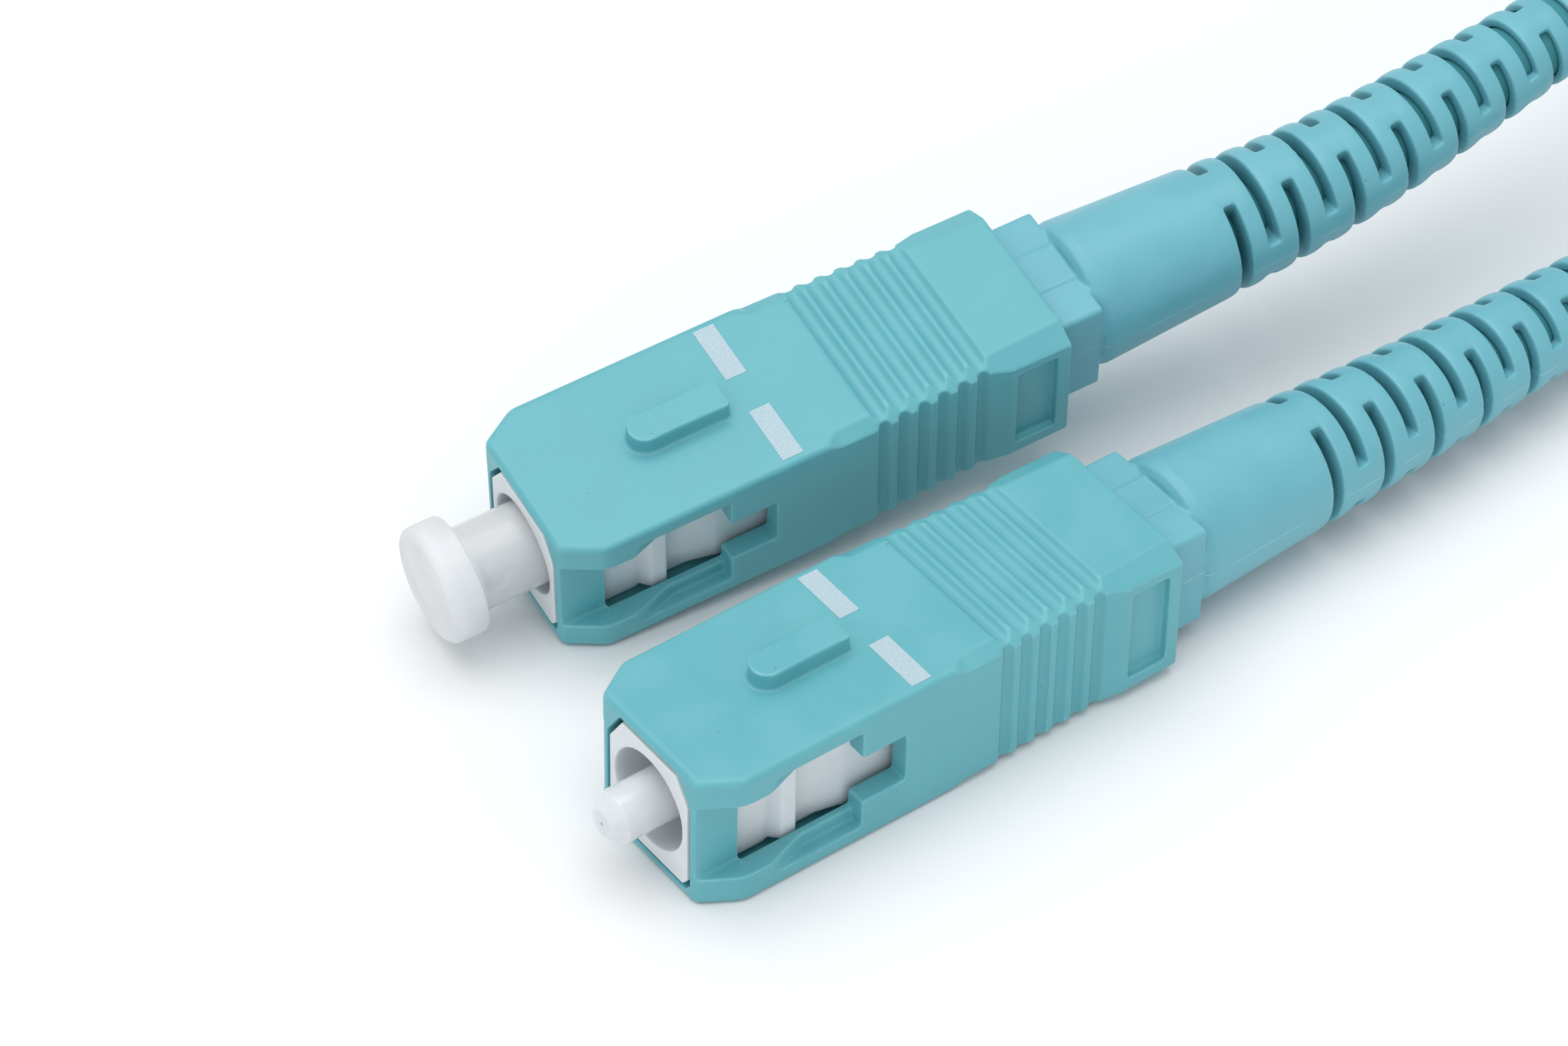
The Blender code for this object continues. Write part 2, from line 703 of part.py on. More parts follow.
def bent(point, end):
    """Where a point of the straight boot goes when its tail bends toward +y on an arc, then runs straight."""
    beyond = point.x - BEND_START
    if beyond <= 0.0:
        return point.copy()
    radius = BOOT_BEND_RADIUS[end]
    on_arc = min(beyond, BOOT_BEND_LENGTH[end])
    angle = on_arc / radius
    reach = radius - point.y
    straight = beyond - on_arc
    along = BEND_START + reach * math.sin(angle) + straight * math.cos(angle)
    across = radius - reach * math.cos(angle) + straight * math.sin(angle)
    return Vector((along, across, point.z))


def cable_core(end, parent):
    steps = 14
    length = TAIL_END - CORE_START
    straight = [Vector((CORE_START + length * step / steps, 0.0, 0.0)) for step in range(steps + 1)]
    points = [bent(point, end) for point in straight]
    place(f"cable_core_{end}", tube(points, CABLE_RADIUS, resolution=2), parent, LOOKS["cable"])


def on_circle(radius, angle):
    """Point (y, z) at an angle from straight up, counted toward -y."""
    turn = math.radians(angle)
    return (-radius * math.sin(turn), radius * math.cos(turn))


def boot_slot_cutters():
    """Two wide slots in each ring of the tail, every second ring turned by a quarter."""
    reach = CONE_RADIUS + PAST
    steps = 4
    slots = []
    for index in range(SLOTS):
        middle = SLOT_FIRST + index * SLOT_PITCH
        first_web = WEB_CENTRE_ANGLE + 90.0 * (index % 2)
        for centre in (first_web + 90.0, first_web - 90.0):
            outline = [on_circle(SLOT_APEX, centre)]
            for step in range(steps + 1):
                outline.append(on_circle(reach, centre + SLOT_ANGLE * (step / steps - 0.5)))
            slots.append(prism(outline, middle - 0.5 * SLOT_WIDTH, middle + 0.5 * SLOT_WIDTH, "x"))
    return slots


def boot(end, parent):
    collar_outline = rectangle(COLLAR_HALF_WIDTH, COLLAR_HALF_HEIGHT, COLLAR_CORNER)
    collar = prism(collar_outline, COLLAR_START, COLLAR_END, "x")
    straight = place(f"boot_{end}", collar, parent, LOOKS["boot"])
    cone = turned(
        [
            (TAIL_END, 0.0),
            (TAIL_END, TAIL_RADIUS),
            (CONE_SHOULDER, CONE_RADIUS),
            (CONE_START, CONE_LEAD_RADIUS),
            (CONE_START, 0.0),
        ]
    )
    combine(straight, place_cutter(f"boot_cone_{end}", cone, parent), "UNION")
    front_bore = cylinder(BOOT_FRONT_BORE, COLLAR_START - PAST, BOOT_FRONT_BORE_END, "x", INNER_SIDES)
    combine(straight, place_cutter(f"boot_front_bore_{end}", front_bore, parent), "DIFFERENCE")
    bore = cylinder(BOOT_BORE, BOOT_FRONT_BORE_END - LAP, TAIL_END + PAST, "x", INNER_SIDES)
    combine(straight, place_cutter(f"boot_bore_{end}", bore, parent), "DIFFERENCE")
    slots = place_cutter(f"boot_slots_{end}", joined("boot_slots", boot_slot_cutters()), parent)
    combine(straight, slots, "DIFFERENCE")
    bpy.context.view_layer.update()
    mesh = evaluated_mesh(straight)
    for vertex in mesh.vertices:
        vertex.co = bent(vertex.co / MM, end) * MM
    straight.modifiers.clear()
    straight.data = mesh


def dust_cap(end, parent):
    """Blind cap whose sleeve reaches into the plug frame's bore round the ferrule."""
    profile = [
        (FERRULE_TIP - GAP, 0.0),
        (FERRULE_TIP - GAP, CAP_BORE),
        (CAP_END, CAP_BORE),
        (CAP_END, CAP_TUBE_RADIUS),
        (CAP_HEAD_END, CAP_TUBE_RADIUS),
        (CAP_HEAD_END, CAP_HEAD_RADIUS),
        (CAP_FRONT + CAP_EDGE, CAP_HEAD_RADIUS),
        (CAP_FRONT, CAP_HEAD_RADIUS - CAP_EDGE),
        (CAP_FRONT, 0.0),
    ]
    place("dust_cap", turned(profile), parent, LOOKS["cap"])


def connector(end, parent):
    pieces = (
        outer_housing,
        plug_frame,
        ferrule,
        ferrule_flange,
        spring,
        stop_ring,
        crimp_ring,
        fibre_buffer,
        cable_core,
        boot,
    )
    for piece in pieces:
        piece(end, parent)


def smooth_route(points, spacing):
    """Points about one spacing apart on a smooth curve through all but the first and last of the given
    ones, which only set the headings at its ends."""
    fine = []
    steps = 20
    for index in range(len(points) - 3):
        start, first, second, end = points[index : index + 4]
        for step in range(steps):
            share = step / steps
            fine.append(
                0.5
                * (
                    2.0 * first
                    + (second - start) * share
                    + (2.0 * start - 5.0 * first + 4.0 * second - end) * share**2
                    + (3.0 * first - start - 3.0 * second + end) * share**3
                )
            )
    fine.append(points[-2])
    count = round(route_length(fine) / spacing)
    return [fine[round(index * (len(fine) - 1) / count)] for index in range(count + 1)]


def boot_exit(end, connector_empty, beyond):
    """Point on the cable's centreline some way beyond the boot's tail, or before it."""
    point = bent(Vector((TAIL_END + GAP + beyond, 0.0, 0.0)), end)
    return connector_empty.matrix_basis @ (point * MM) / MM


def lead(end, connector_empty, middle, hank_stub, parent):
    """Free cable from a boot's tail to the stub at one end of the hank, square to both."""
    loop_end, stub_end = hank_stub
    onward = (stub_end - loop_end).normalized()
    points = [boot_exit(end, connector_empty, -LEAD_GUIDE), boot_exit(end, connector_empty, 0.0)]
    points += [Vector(point) for point in middle]
    points += [stub_end + onward * GAP, stub_end - onward * LEAD_GUIDE]
    points = smooth_route(points, LEAD_SPACING)
    place(f"cable_lead_{end}", tube(points, CABLE_RADIUS, resolution=2), parent, LOOKS["cable"])
    return route_length(points)


def hank_point(turn):
    """Point of the loops after some turns, counted from the middle of the run nearer connector B.

    The loops spiral in and out by turns, climb a layer along the run where they reverse, and are all
    drawn in alike at the waist. The second half of a turn is the first half turned by 180 degrees.
    """
    layer = min(max(int(turn / HANK_LAYER_TURNS), 0), HANK_LAYERS - 1)
    within = turn - layer * HANK_LAYER_TURNS
    inward = within if layer % 2 == 0 else HANK_LAYER_TURNS - within
    radius = HANK_OUTER_RADIUS - HANK_TURN_PITCH * inward
    height = HANK_BASE
    for climb in range(1, HANK_LAYERS):
        share = (turn - climb * HANK_LAYER_TURNS) / HANK_CLIMB_TURNS + 0.5
        share = min(max(share, 0.0), 1.0)
        height += HANK_LAYER_PITCH * share * share * (3.0 - 2.0 * share)
    fold = math.pi * HANK_MEAN_RADIUS
    half_turn = HANK_RUN + fold
    half, along = divmod(2.0 * turn * half_turn + 0.5 * HANK_RUN, half_turn)
    if along < HANK_RUN:
        x = along - 0.5 * HANK_RUN
        y = 0.5 * HANK_WAIST * (1.0 + math.cos(2.0 * math.pi * x / HANK_RUN)) - radius
    else:
        angle = math.pi * ((along - HANK_RUN) / fold - 0.5)
        x = 0.5 * HANK_RUN + radius * math.cos(angle)
        y = radius * math.sin(angle)
    side = 1.0 if half % 2 == 0 else -1.0
    return Vector((HANK_CENTRE[0] + side * x, HANK_CENTRE[1] + side * y, height))


def cable_hank(parent):
    """Loops between two straight stubs, one diameter long, that point back at the connectors."""
    steps = range(HANK_FIRST_POINT, HANK_LAST_POINT + 1)
    loops = [hank_point(step / HANK_POINTS_PER_TURN) for step in steps]
    gap = least_gap(loops, CABLE_RADIUS, HANK_POINTS_PER_TURN // 2)
    print(f"cable_hank: least gap to itself {gap:.2f} mm")
    stub = Vector((-2.0 * CABLE_RADIUS, 0.0, 0.0))
    points = [loops[0] + stub] + loops + [loops[-1] + stub]
    place("cable_hank", tube(points, CABLE_RADIUS, resolution=1), parent, LOOKS["cable"])
    return points


def cable_tie(parent):
    """Flat strap round all the loops at the waist of the hank."""
    waist = HANK_OUTER_RADIUS - HANK_WAIST + CABLE_RADIUS + TIE_CLEARANCE
    low = HANK_CENTRE[1] - waist
    high = HANK_CENTRE[1] + waist - 0.5 * HANK_TURN_PITCH
    bottom = TIE_THICKNESS
    top = HANK_TOP + CABLE_RADIUS + GAP
    half = (0.5 * (high - low), 0.5 * (top - bottom))
    outer = (half[0] + TIE_THICKNESS, half[1] + TIE_THICKNESS)
    reach = (-TIE_HALF_WIDTH, TIE_HALF_WIDTH)
    band = prism(rectangle(*outer, (TIE_CORNER, TIE_CORNER)), *reach, "x")
    opening_reach = (reach[0] - PAST, reach[1] + PAST)
    opening = prism(rectangle(*half, (TIE_INNER_CORNER, TIE_INNER_CORNER)), *opening_reach, "x")
    shift = Vector((HANK_CENTRE[0], 0.5 * (low + high), 0.5 * (bottom + top))) * MM
    for mesh in (band, opening):
        mesh.transform(Matrix.Translation(shift))
    tie = place("cable_tie", band, parent, LOOKS["tie"])
    combine(tie, place_cutter("tie_opening", opening, parent), "DIFFERENCE")


clear_scene()
PARTS = collection("fibre_optic_patch_cord")
CUTTERS = collection("cutters")
LOOKS = {
    "housing": material("aqua_housing_plastic", (0.15, 0.5, 0.55), 0.45),
    "boot": material("aqua_boot_rubber", (0.16, 0.46, 0.57), 0.55),
    "cable": material("aqua_cable_jacket", (0.15, 0.48, 0.54), 0.5),
    "frame": material("white_frame_plastic", (0.76, 0.78, 0.8), 0.4),
    "ferrule": material("white_ceramic", (0.86, 0.87, 0.88), 0.15),
    "metal": material("nickel_plated_brass", (0.62, 0.59, 0.52), 0.3, metallic=1.0),
    "cap": material("translucent_cap_plastic", (0.82, 0.85, 0.88), 0.35, transmission=0.5),
    "tie": material("black_strap", (0.03, 0.03, 0.035), 0.8),
}
CORD = empty("patch_cord", (-CENTRE[0], -CENTRE[1], 0.0), (0.0, 0.0, 0.0))
CONNECTOR_A = empty("connector_a", CONNECTOR_A_FRONT, CONNECTOR_A_TURN, CORD)
CONNECTOR_B = empty("connector_b", CONNECTOR_B_FRONT, CONNECTOR_B_TURN, CORD)
connector("a", CONNECTOR_A)
dust_cap("a", CONNECTOR_A)
connector("b", CONNECTOR_B)
loops = cable_hank(CORD)
free_length = route_length(loops)
free_length += lead("a", CONNECTOR_A, LEAD_A_MIDDLE, loops[-2:], CORD)
free_length += lead("b", CONNECTOR_B, LEAD_B_MIDDLE, loops[1::-1], CORD)
print(f"cable between the boots: {free_length:.0f} mm")
cable_tie(CORD)
bpy.context.view_layer.update()
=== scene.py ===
import math

import bpy
import numpy as np
from mathutils import Euler, Matrix, Vector
from mathutils.geometry import normal as planeNormal


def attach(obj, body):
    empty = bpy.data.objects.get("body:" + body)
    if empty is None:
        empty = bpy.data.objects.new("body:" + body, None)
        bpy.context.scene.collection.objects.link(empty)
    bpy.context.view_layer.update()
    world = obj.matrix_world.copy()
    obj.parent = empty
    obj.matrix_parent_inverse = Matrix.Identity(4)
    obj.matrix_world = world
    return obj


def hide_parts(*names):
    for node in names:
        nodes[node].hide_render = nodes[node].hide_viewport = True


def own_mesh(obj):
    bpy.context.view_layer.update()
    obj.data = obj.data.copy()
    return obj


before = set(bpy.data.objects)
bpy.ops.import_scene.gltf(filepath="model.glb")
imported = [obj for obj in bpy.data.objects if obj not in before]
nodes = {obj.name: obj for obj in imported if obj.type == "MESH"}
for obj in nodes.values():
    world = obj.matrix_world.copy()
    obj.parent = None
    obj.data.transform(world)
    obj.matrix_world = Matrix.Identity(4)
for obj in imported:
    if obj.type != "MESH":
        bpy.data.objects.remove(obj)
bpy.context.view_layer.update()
scene = bpy.context.scene
scene.view_settings.view_transform = "Standard"
mm = 0.001  # pieces are modelled in millimetres, each in its connector's own frame, and placed in metres
ends = ("a", "b")

layout = {
    "centre": (29.62, 7.89),
    "front": {"a": (4.17, 15.65, 4.16), "b": (-0.3, 0.0, 3.7)},
    "turn": {"a": (9.0, -5.9, -7.4), "b": (0.0, 0.0, 0.0)},
}

view = {"place": (-139.16, -159.97, 197.05), "around": -37.4, "above": 43.4, "roll": 1.0, "lens": 145.0}


def connectorPlace(end):
    # from millimetres in a connector's frame to metres in the part's frame
    front = Vector(layout["front"][end]) - Vector((*layout["centre"], 0.0))
    turn = Euler([math.radians(angle) for angle in layout["turn"][end]]).to_matrix().to_4x4()
    return Matrix.Translation(front * mm) @ turn @ Matrix.Scale(mm, 4)


def addCamera():
    around, above, roll = (math.radians(view[key]) for key in ("around", "above", "roll"))
    back = Vector((math.sin(around) * math.cos(above), -math.cos(around) * math.cos(above), math.sin(above)))
    right = Vector((math.cos(around), math.sin(around), 0.0))
    up = back.cross(right)
    rolledRight = right * math.cos(roll) + up * math.sin(roll)
    rolledUp = up * math.cos(roll) - right * math.sin(roll)
    bpy.ops.object.camera_add()
    camera = bpy.context.object
    axes = Matrix((rolledRight, rolledUp, back)).transposed().to_4x4()
    camera.matrix_world = Matrix.Translation(Vector(view["place"]) * mm) @ axes
    camera.data.sensor_width = 36.0
    camera.data.lens = view["lens"]
    camera.data.clip_start = 0.01
    camera.data.clip_end = 20.0
    scene.camera = camera


addCamera()
print("camera placed")

cable = {
    "radius": 1.5,
    "length": 0.881,
    "boot": {"tail": 58.2, "gap": 0.3, "bendStart": 37.2},
    "bendRadius": {"a": 64.5, "b": 176.0},
    "bendLength": {"a": 9.8, "b": 7.8},
    "middle": {
        "a": ((68.2, 11.5, 11.3), (73.3, 13.5, 12.0), (78.6, 16.2, 12.5), (83.9, 18.3, 12.75)),
        "b": ((65.0, 0.4, 3.6), (71.1, -1.6, 3.2), (76.9, -4.5, 2.8), (83.2, -6.9, 2.4)),
    },
    "guide": 6.0,
    "startInside": 1.0,
    "leadPoints": 16,
    "roundness": 8,
}

hank = {
    "centre": (110.6, 6.6),
    "run": 35.3,
    "radius": 13.7,
    "turnPitch": 3.7,
    "layerPitch": 3.5,
    "layers": 4,
    "layerTurns": 1.5,
    "climbTurns": 0.25,
    "waist": 4.0,
    "base": 2.3,
    "turns": (-0.125, 5.625),
    "pointsPerTurn": 48,
    "stub": 3.0,
}


def bent(point, end):
    # the boot's tail bends toward +y on an arc, then runs straight
    beyond = point.x - cable["boot"]["bendStart"]
    if beyond <= 0.0:
        return point.copy()
    radius = cable["bendRadius"][end]
    onArc = min(beyond, cable["bendLength"][end])
    angle = onArc / radius
    reach = radius - point.y
    straight = beyond - onArc
    along = cable["boot"]["bendStart"] + reach * math.sin(angle) + straight * math.cos(angle)
    across = radius - reach * math.cos(angle) + straight * math.sin(angle)
    return Vector((along, across, point.z))


def bootExit(end, beyond):
    # a point on the cable's middle line some way beyond the boot's tail, in metres
    local = bent(Vector((cable["boot"]["tail"] + beyond, 0.0, 0.0)), end)
    return connectorPlace(end) @ local


def placed(point):
    return (Vector(point) - Vector((*layout["centre"], 0.0))) * mm


def hankPoint(turn):
    # loops spiral in and out by turns, climb a layer along the run where they reverse, and are all drawn in
    # alike at the waist; turns count from the middle of the run nearer connector b
    layer = min(max(int(turn / hank["layerTurns"]), 0), hank["layers"] - 1)
    within = turn - layer * hank["layerTurns"]
    inward = within if layer % 2 == 0 else hank["layerTurns"] - within
    radius = hank["radius"] - hank["turnPitch"] * inward
    height = hank["base"]
    for climb in range(1, hank["layers"]):
        share = min(max((turn - climb * hank["layerTurns"]) / hank["climbTurns"] + 0.5, 0.0), 1.0)
        height += hank["layerPitch"] * share * share * (3.0 - 2.0 * share)
    run = hank["run"]
    fold = math.pi * (hank["radius"] - 0.5 * hank["turnPitch"] * hank["layerTurns"])
    half, along = divmod(2.0 * turn * (run + fold) + 0.5 * run, run + fold)
    if along < run:
        x = along - 0.5 * run
        y = 0.5 * hank["waist"] * (1.0 + math.cos(2.0 * math.pi * x / run)) - radius
    else:
        angle = math.pi * ((along - run) / fold - 0.5)
        x = 0.5 * run + radius * math.cos(angle)
        y = radius * math.sin(angle)
    side = 1.0 if half % 2 == 0 else -1.0  # the second half of a turn is the first half turned round
    return placed((hank["centre"][0] + side * x, hank["centre"][1] + side * y, height))


def hankRoute():
    first, last = hank["turns"]
    count = round((last - first) * hank["pointsPerTurn"])
    loops = [hankPoint(first + (last - first) * index / count) for index in range(count + 1)]
    stub = Vector((-hank["stub"] * mm, 0.0, 0.0))
    return [loops[0] + stub, *loops, loops[-1] + stub]


def smoothRoute(points, count):
    # a smooth curve through all but the first and last points, which only set the headings at its ends
    fine = []
    steps = 24
    for index in range(len(points) - 3):
        before, first, second, after = points[index : index + 4]
        for step in range(steps):
            t = step / steps
            bend = (2.0 * before - 5.0 * first + 4.0 * second - after) * t**2
            twist = (3.0 * first - before - 3.0 * second + after) * t**3
            fine.append(0.5 * (2.0 * first + (second - before) * t + bend + twist))
    fine.append(points[-2])
    return [fine[round(index * (len(fine) - 1) / count)] for index in range(count + 1)]


def leadRoute(end, loopEnd, stubEnd):
    onward = (stubEnd - loopEnd).normalized() * mm
    gap, guide = cable["boot"]["gap"], cable["guide"]
    points = [bootExit(end, gap - guide), bootExit(end, gap)]
    points += [placed(point) for point in cable["middle"][end]]
    points += [stubEnd + onward * gap, stubEnd - onward * guide]
    return [bootExit(end, -cable["startInside"])] + smoothRoute(points, cable["leadPoints"])


def addCable():
    loops = hankRoute()
    route = leadRoute("a", loops[-2], loops[-1])
    route += reversed(loops)
    route += reversed(leadRoute("b", loops[1], loops[0]))
    curve = bpy.data.curves.new("patchCable", "CURVE")
    curve.dimensions = "3D"
    curve.bevel_depth = cable["radius"] * mm
    curve.bevel_resolution = cable["roundness"]
    curve.use_fill_caps = True
    spline = curve.splines.new("POLY")
    spline.points.add(len(route) - 1)
    for knot, point in zip(spline.points, route):
        knot.co = (*point, 1.0)
    spline.use_smooth = True
    piece = bpy.data.objects.new("patchCable", curve)
    scene.collection.objects.link(piece)
    length = sum((second - start).length for start, second in zip(route, route[1:]))
    print(f"cable routed, {length:.4f} m over {len(route)} points")
    return piece


patchCable = addCable()


def only(piece):
    if bpy.context.object and bpy.context.object.mode != "OBJECT":
        bpy.ops.object.mode_set(mode="OBJECT")
    bpy.ops.object.select_all(action="DESELECT")
    piece.select_set(True)
    bpy.context.view_layer.objects.active = piece


def applied(piece, kind, **settings):
    only(piece)
    modifier = piece.modifiers.new(kind.title(), kind)
    for name, value in settings.items():
        setattr(modifier, name, value)
    bpy.ops.object.modifier_apply(modifier=modifier.name)


def block(low, high):
    bpy.ops.object.select_all(action="DESELECT")
    low, high = Vector(low), Vector(high)
    bpy.ops.mesh.primitive_cube_add(size=1.0, location=(low + high) / 2.0, scale=high - low)
    bpy.ops.object.transform_apply(location=True, rotation=True, scale=True)
    return bpy.context.object


def rod(radius, start, stop, sides, endRadius=None):
    # a rod or a cone on the connector's axis
    bpy.ops.object.select_all(action="DESELECT")
    bpy.ops.mesh.primitive_cone_add(
        vertices=sides,
        radius1=radius,
        radius2=radius if endRadius is None else endRadius,
        depth=stop - start,
        location=((start + stop) / 2.0, 0.0, 0.0),
        rotation=(0.0, math.radians(90.0), 0.0),
    )
    bpy.ops.object.transform_apply(location=True, rotation=True, scale=True)
    return bpy.context.object


def trim(piece, point, direction):
    # saws off what lies beyond a plane; the tool clips parts of a direction that are longer than one
    across = Vector(direction).normalized()
    only(piece)
    bpy.ops.object.mode_set(mode="EDIT")
    bpy.ops.mesh.select_all(action="SELECT")
    bpy.ops.mesh.bisect(plane_co=point, plane_no=across, use_fill=True, clear_outer=True)
    bpy.ops.object.mode_set(mode="OBJECT")
    return piece


def trimCorners(piece, half, corner, lowCorner=None):
    wide, high = half
    for side in (1, -1):
        for up, (cutWidth, cutHeight) in ((1, corner), (-1, lowCorner or corner)):
            place = (0.0, side * wide, up * (high - cutHeight))
            trim(piece, place, (0.0, side * cutHeight, up * cutWidth))
    return piece


def pick(piece, kind, test):
    # selects faces or edges in edit mode by their place
    only(piece)
    bpy.ops.object.mode_set(mode="EDIT")
    bpy.ops.mesh.select_mode(type=kind)
    bpy.ops.mesh.select_all(action="DESELECT")
    bpy.ops.object.mode_set(mode="OBJECT")
    mesh = piece.data
    if kind == "FACE":
        for face in mesh.polygons:
            face.select = test(face.center, face.normal)
    else:
        for edge in mesh.edges:
            low, high = (mesh.vertices[index].co for index in edge.vertices)
            edge.select = test(low, high)
    bpy.ops.object.mode_set(mode="EDIT")


def done():
    bpy.ops.object.mode_set(mode="OBJECT")


def joined(pieces):
    only(pieces[0])
    for piece in pieces[1:]:
        piece.select_set(True)
    bpy.ops.object.join()
    return bpy.context.object


def mirrored(piece, axes):
    # a copy flipped over the named axes, turned right side out again
    flipped = piece.copy()
    flipped.data = piece.data.copy()
    scene.collection.objects.link(flipped)
    scale = Matrix.Diagonal([-1.0 if axis in axes else 1.0 for axis in "xyz"] + [1.0])
    flipped.data.transform(scale)
    if len(axes) % 2 == 1:
        flipped.data.flip_normals()
    return flipped


def combined(piece, other, operation):
    applied(piece, "BOOLEAN", operation=operation, solver="EXACT", object=other)
    bpy.data.objects.remove(other)
    return piece


def cut(piece, other):
    return combined(piece, other, "DIFFERENCE")


def added(piece, other):
    return combined(piece, other, "UNION")


def moulded(piece, voxel, rounding, triangles, shape=None):
    # rounds every edge as a mould does, and thins the flats
    applied(piece, "REMESH", mode="VOXEL", voxel_size=voxel)
    applied(piece, "SMOOTH", factor=0.5, iterations=round(rounding))
    if shape:
        shape(piece)
    applied(piece, "DECIMATE", ratio=min(1.0, triangles / (2.0 * len(piece.data.polygons))))
    finished(piece)
    print(f"{piece.name} moulded, {len(piece.data.polygons)} faces")


def finished(piece):
    only(piece)
    bpy.ops.object.shade_smooth()
    applied(piece, "WEIGHTED_NORMAL", keep_sharp=True)


def markPlace(piece):
    # keeps each point's place on the bench, in millimetres, and how sharply it bulges, for the materials
    mesh = piece.data
    count = len(mesh.vertices)
    spots = np.zeros(count * 3, np.float32)
    mesh.vertices.foreach_get("co", spots)
    place = mesh.attributes.new("benchPlace", "FLOAT_VECTOR", "POINT")
    place.data.foreach_set("vector", spots)
    normals = np.zeros(count * 3, np.float32)
    mesh.vertices.foreach_get("normal", normals)
    pairs = np.zeros(len(mesh.edges) * 2, np.int32)
    mesh.edges.foreach_get("vertices", pairs)
    spots, normals, pairs = spots.reshape(-1, 3), normals.reshape(-1, 3), pairs.reshape(-1, 2)
    bulge, share = np.zeros(count), np.zeros(count)
    for near, far in ((0, 1), (1, 0)):
        step = spots[pairs[:, near]] - spots[pairs[:, far]]
        length = np.maximum((step * step).sum(1), 1e-6)
        curve = 2.0 * (step * normals[pairs[:, near]]).sum(1) / length
        np.add.at(bulge, pairs[:, near], curve)
        np.add.at(share, pairs[:, near], 1.0)
    edge = mesh.attributes.new("edgeBulge", "FLOAT", "POINT")
    edge.data.foreach_set("value", (bulge / np.maximum(share, 1.0)).astype(np.float32))


def settle(piece, name, end, body, finish, stoodFor=(), shape=None):
    # a copy of a bench piece goes to its connector, with its place in its mesh
    copy = bpy.data.objects.new(f"{name}_{end}", piece.data.copy())
    copy.data.name = copy.name
    scene.collection.objects.link(copy)
    if shape:
        for vertex in copy.data.vertices:
            vertex.co = shape(vertex.co, end)
    copy.data.transform(connectorPlace(end))
    copy.data.materials.clear()
    copy.data.materials.append(finish)
    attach(copy, body)
    if stoodFor:
        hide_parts(*stoodFor)
    return copy


def clearBench(*pieces):
    for piece in pieces:
        bpy.data.objects.remove(piece)


housing = {
    "length": 25.6,
    "halfWidth": 4.5,
    "halfHeight": 3.7,
    "corner": (1.85, 1.1),
    "edge": 0.32,
    "mouth": (3.0, 3.25),
    "mouthCorner": (0.9, 1.45),
    "mouthLowCorner": (0.35, 0.45),
    "panelLength": 2.3,
    "panelFace": 3.33,
    "cavityHalfWidth": 3.42,
    "cavityCorner": (0.5, 0.5),
    "rearCavity": (12.62, 3.52, 2.93),
    "lipEdge": 2.15,
    "stripFace": 3.81,
    "camStart": 3.23,
    "camEnd": 3.43,
    "camSlant": 2.0,
    "camEdge": 2.84,
    "tabStart": 8.07,
    "tabEdge": 1.32,
    "windowEnd": 10.42,
    "key": ((5.43, -0.83, 3.4), (10.17, 0.83, 4.62)),
    "keyNose": 0.825,
    "keyCorner": 0.22,
    "gripChamfer": (0.98, 0.55),
    "gripShares": (0.7, 1.17),
    "gripRamp": (12.8, 13.7),
    "taper": (15.4, 21.6, 22.5),
    "taperDepth": 0.25,
    "grooves": 6,
    "grooveFirst": 15.95,
    "groovePitch": 1.04,
    "topGroove": (0.45, 0.27),
    "sideGroove": (0.34, 0.27),
    "pocket": ((22.84, 4.1, -2.44), (24.89, 6.0, 2.54)),
    "past": 1.0,
    "voxel": 0.06,
    "rounding": 18,
    "triangles": 110000,
}


def windowCutters():
    # panel recess, latch window, cam ramps and the narrow end between the tabs, on the +y side
    h = housing
    outer = h["halfWidth"] + h["past"]
    inside = h["cavityHalfWidth"] - h["past"]
    lip, strip, front = h["lipEdge"], h["stripFace"], -h["past"]
    lips = block((front, strip, -lip), (h["tabStart"], outer, lip))
    cam = block((h["camStart"] - 1.0, strip, -h["camEdge"]), (h["tabStart"], outer, h["camEdge"]))
    for up in (1.0, -1.0):
        nearest = Vector((h["camStart"], h["halfWidth"], up * lip))
        raised = Vector((h["camEnd"], h["halfWidth"], up * h["camEdge"]))
        inward = Vector((h["camStart"] + h["camSlant"], strip, up * lip))
        facing = planeNormal(nearest, raised, inward)
        trim(cam, nearest, -facing if facing.x > 0.0 else facing)
    panel = block((front, h["panelFace"], -lip), (h["panelLength"], outer, lip))
    window = block((h["panelLength"], inside, -lip), (h["tabStart"], outer, lip))
    narrow = block((h["tabStart"] - 0.1, inside, -h["tabEdge"]), (h["windowEnd"], outer, h["tabEdge"]))
    return [lips, cam, panel, window, narrow]


def gripChamfer():
    # wedge over the edge at +y and +z that starts on a ramp and widens toward the rear
    h = housing
    across, down = h["gripChamfer"]
    wide, high, past = h["halfWidth"], h["halfHeight"], h["past"]
    (start, full), (narrow, broad) = h["gripRamp"], h["gripShares"]
    wedge = block((start - past, 1.0, 1.0), (h["length"] + past, wide + 2.0, high + 2.0))
    onTop = Vector((full, wide - narrow * across, high))
    onSide = Vector((full, wide, high - narrow * down))
    for third in (Vector((h["length"], wide - broad * across, high)), Vector((start, wide, high))):
        facing = planeNormal(onTop, onSide, third)
        trim(wedge, onTop, -facing if facing.z > 0.0 else facing)
    return wedge


def gripTaper():
    # draws the side at +y in toward the last groove and lets it out again before the pocket
    h = housing
    (start, deepest, end), depth = h["taper"], h["taperDepth"]
    wide, reach, past = h["halfWidth"], h["halfHeight"] + h["past"], h["past"]
    wedge = block((start - past, wide - past, -reach), (end + past, wide + past, reach))
    trim(wedge, (start, wide, 0.0), (-depth, start - deepest, 0.0))
    trim(wedge, (end, wide, 0.0), (depth, deepest - end, 0.0))
    return wedge


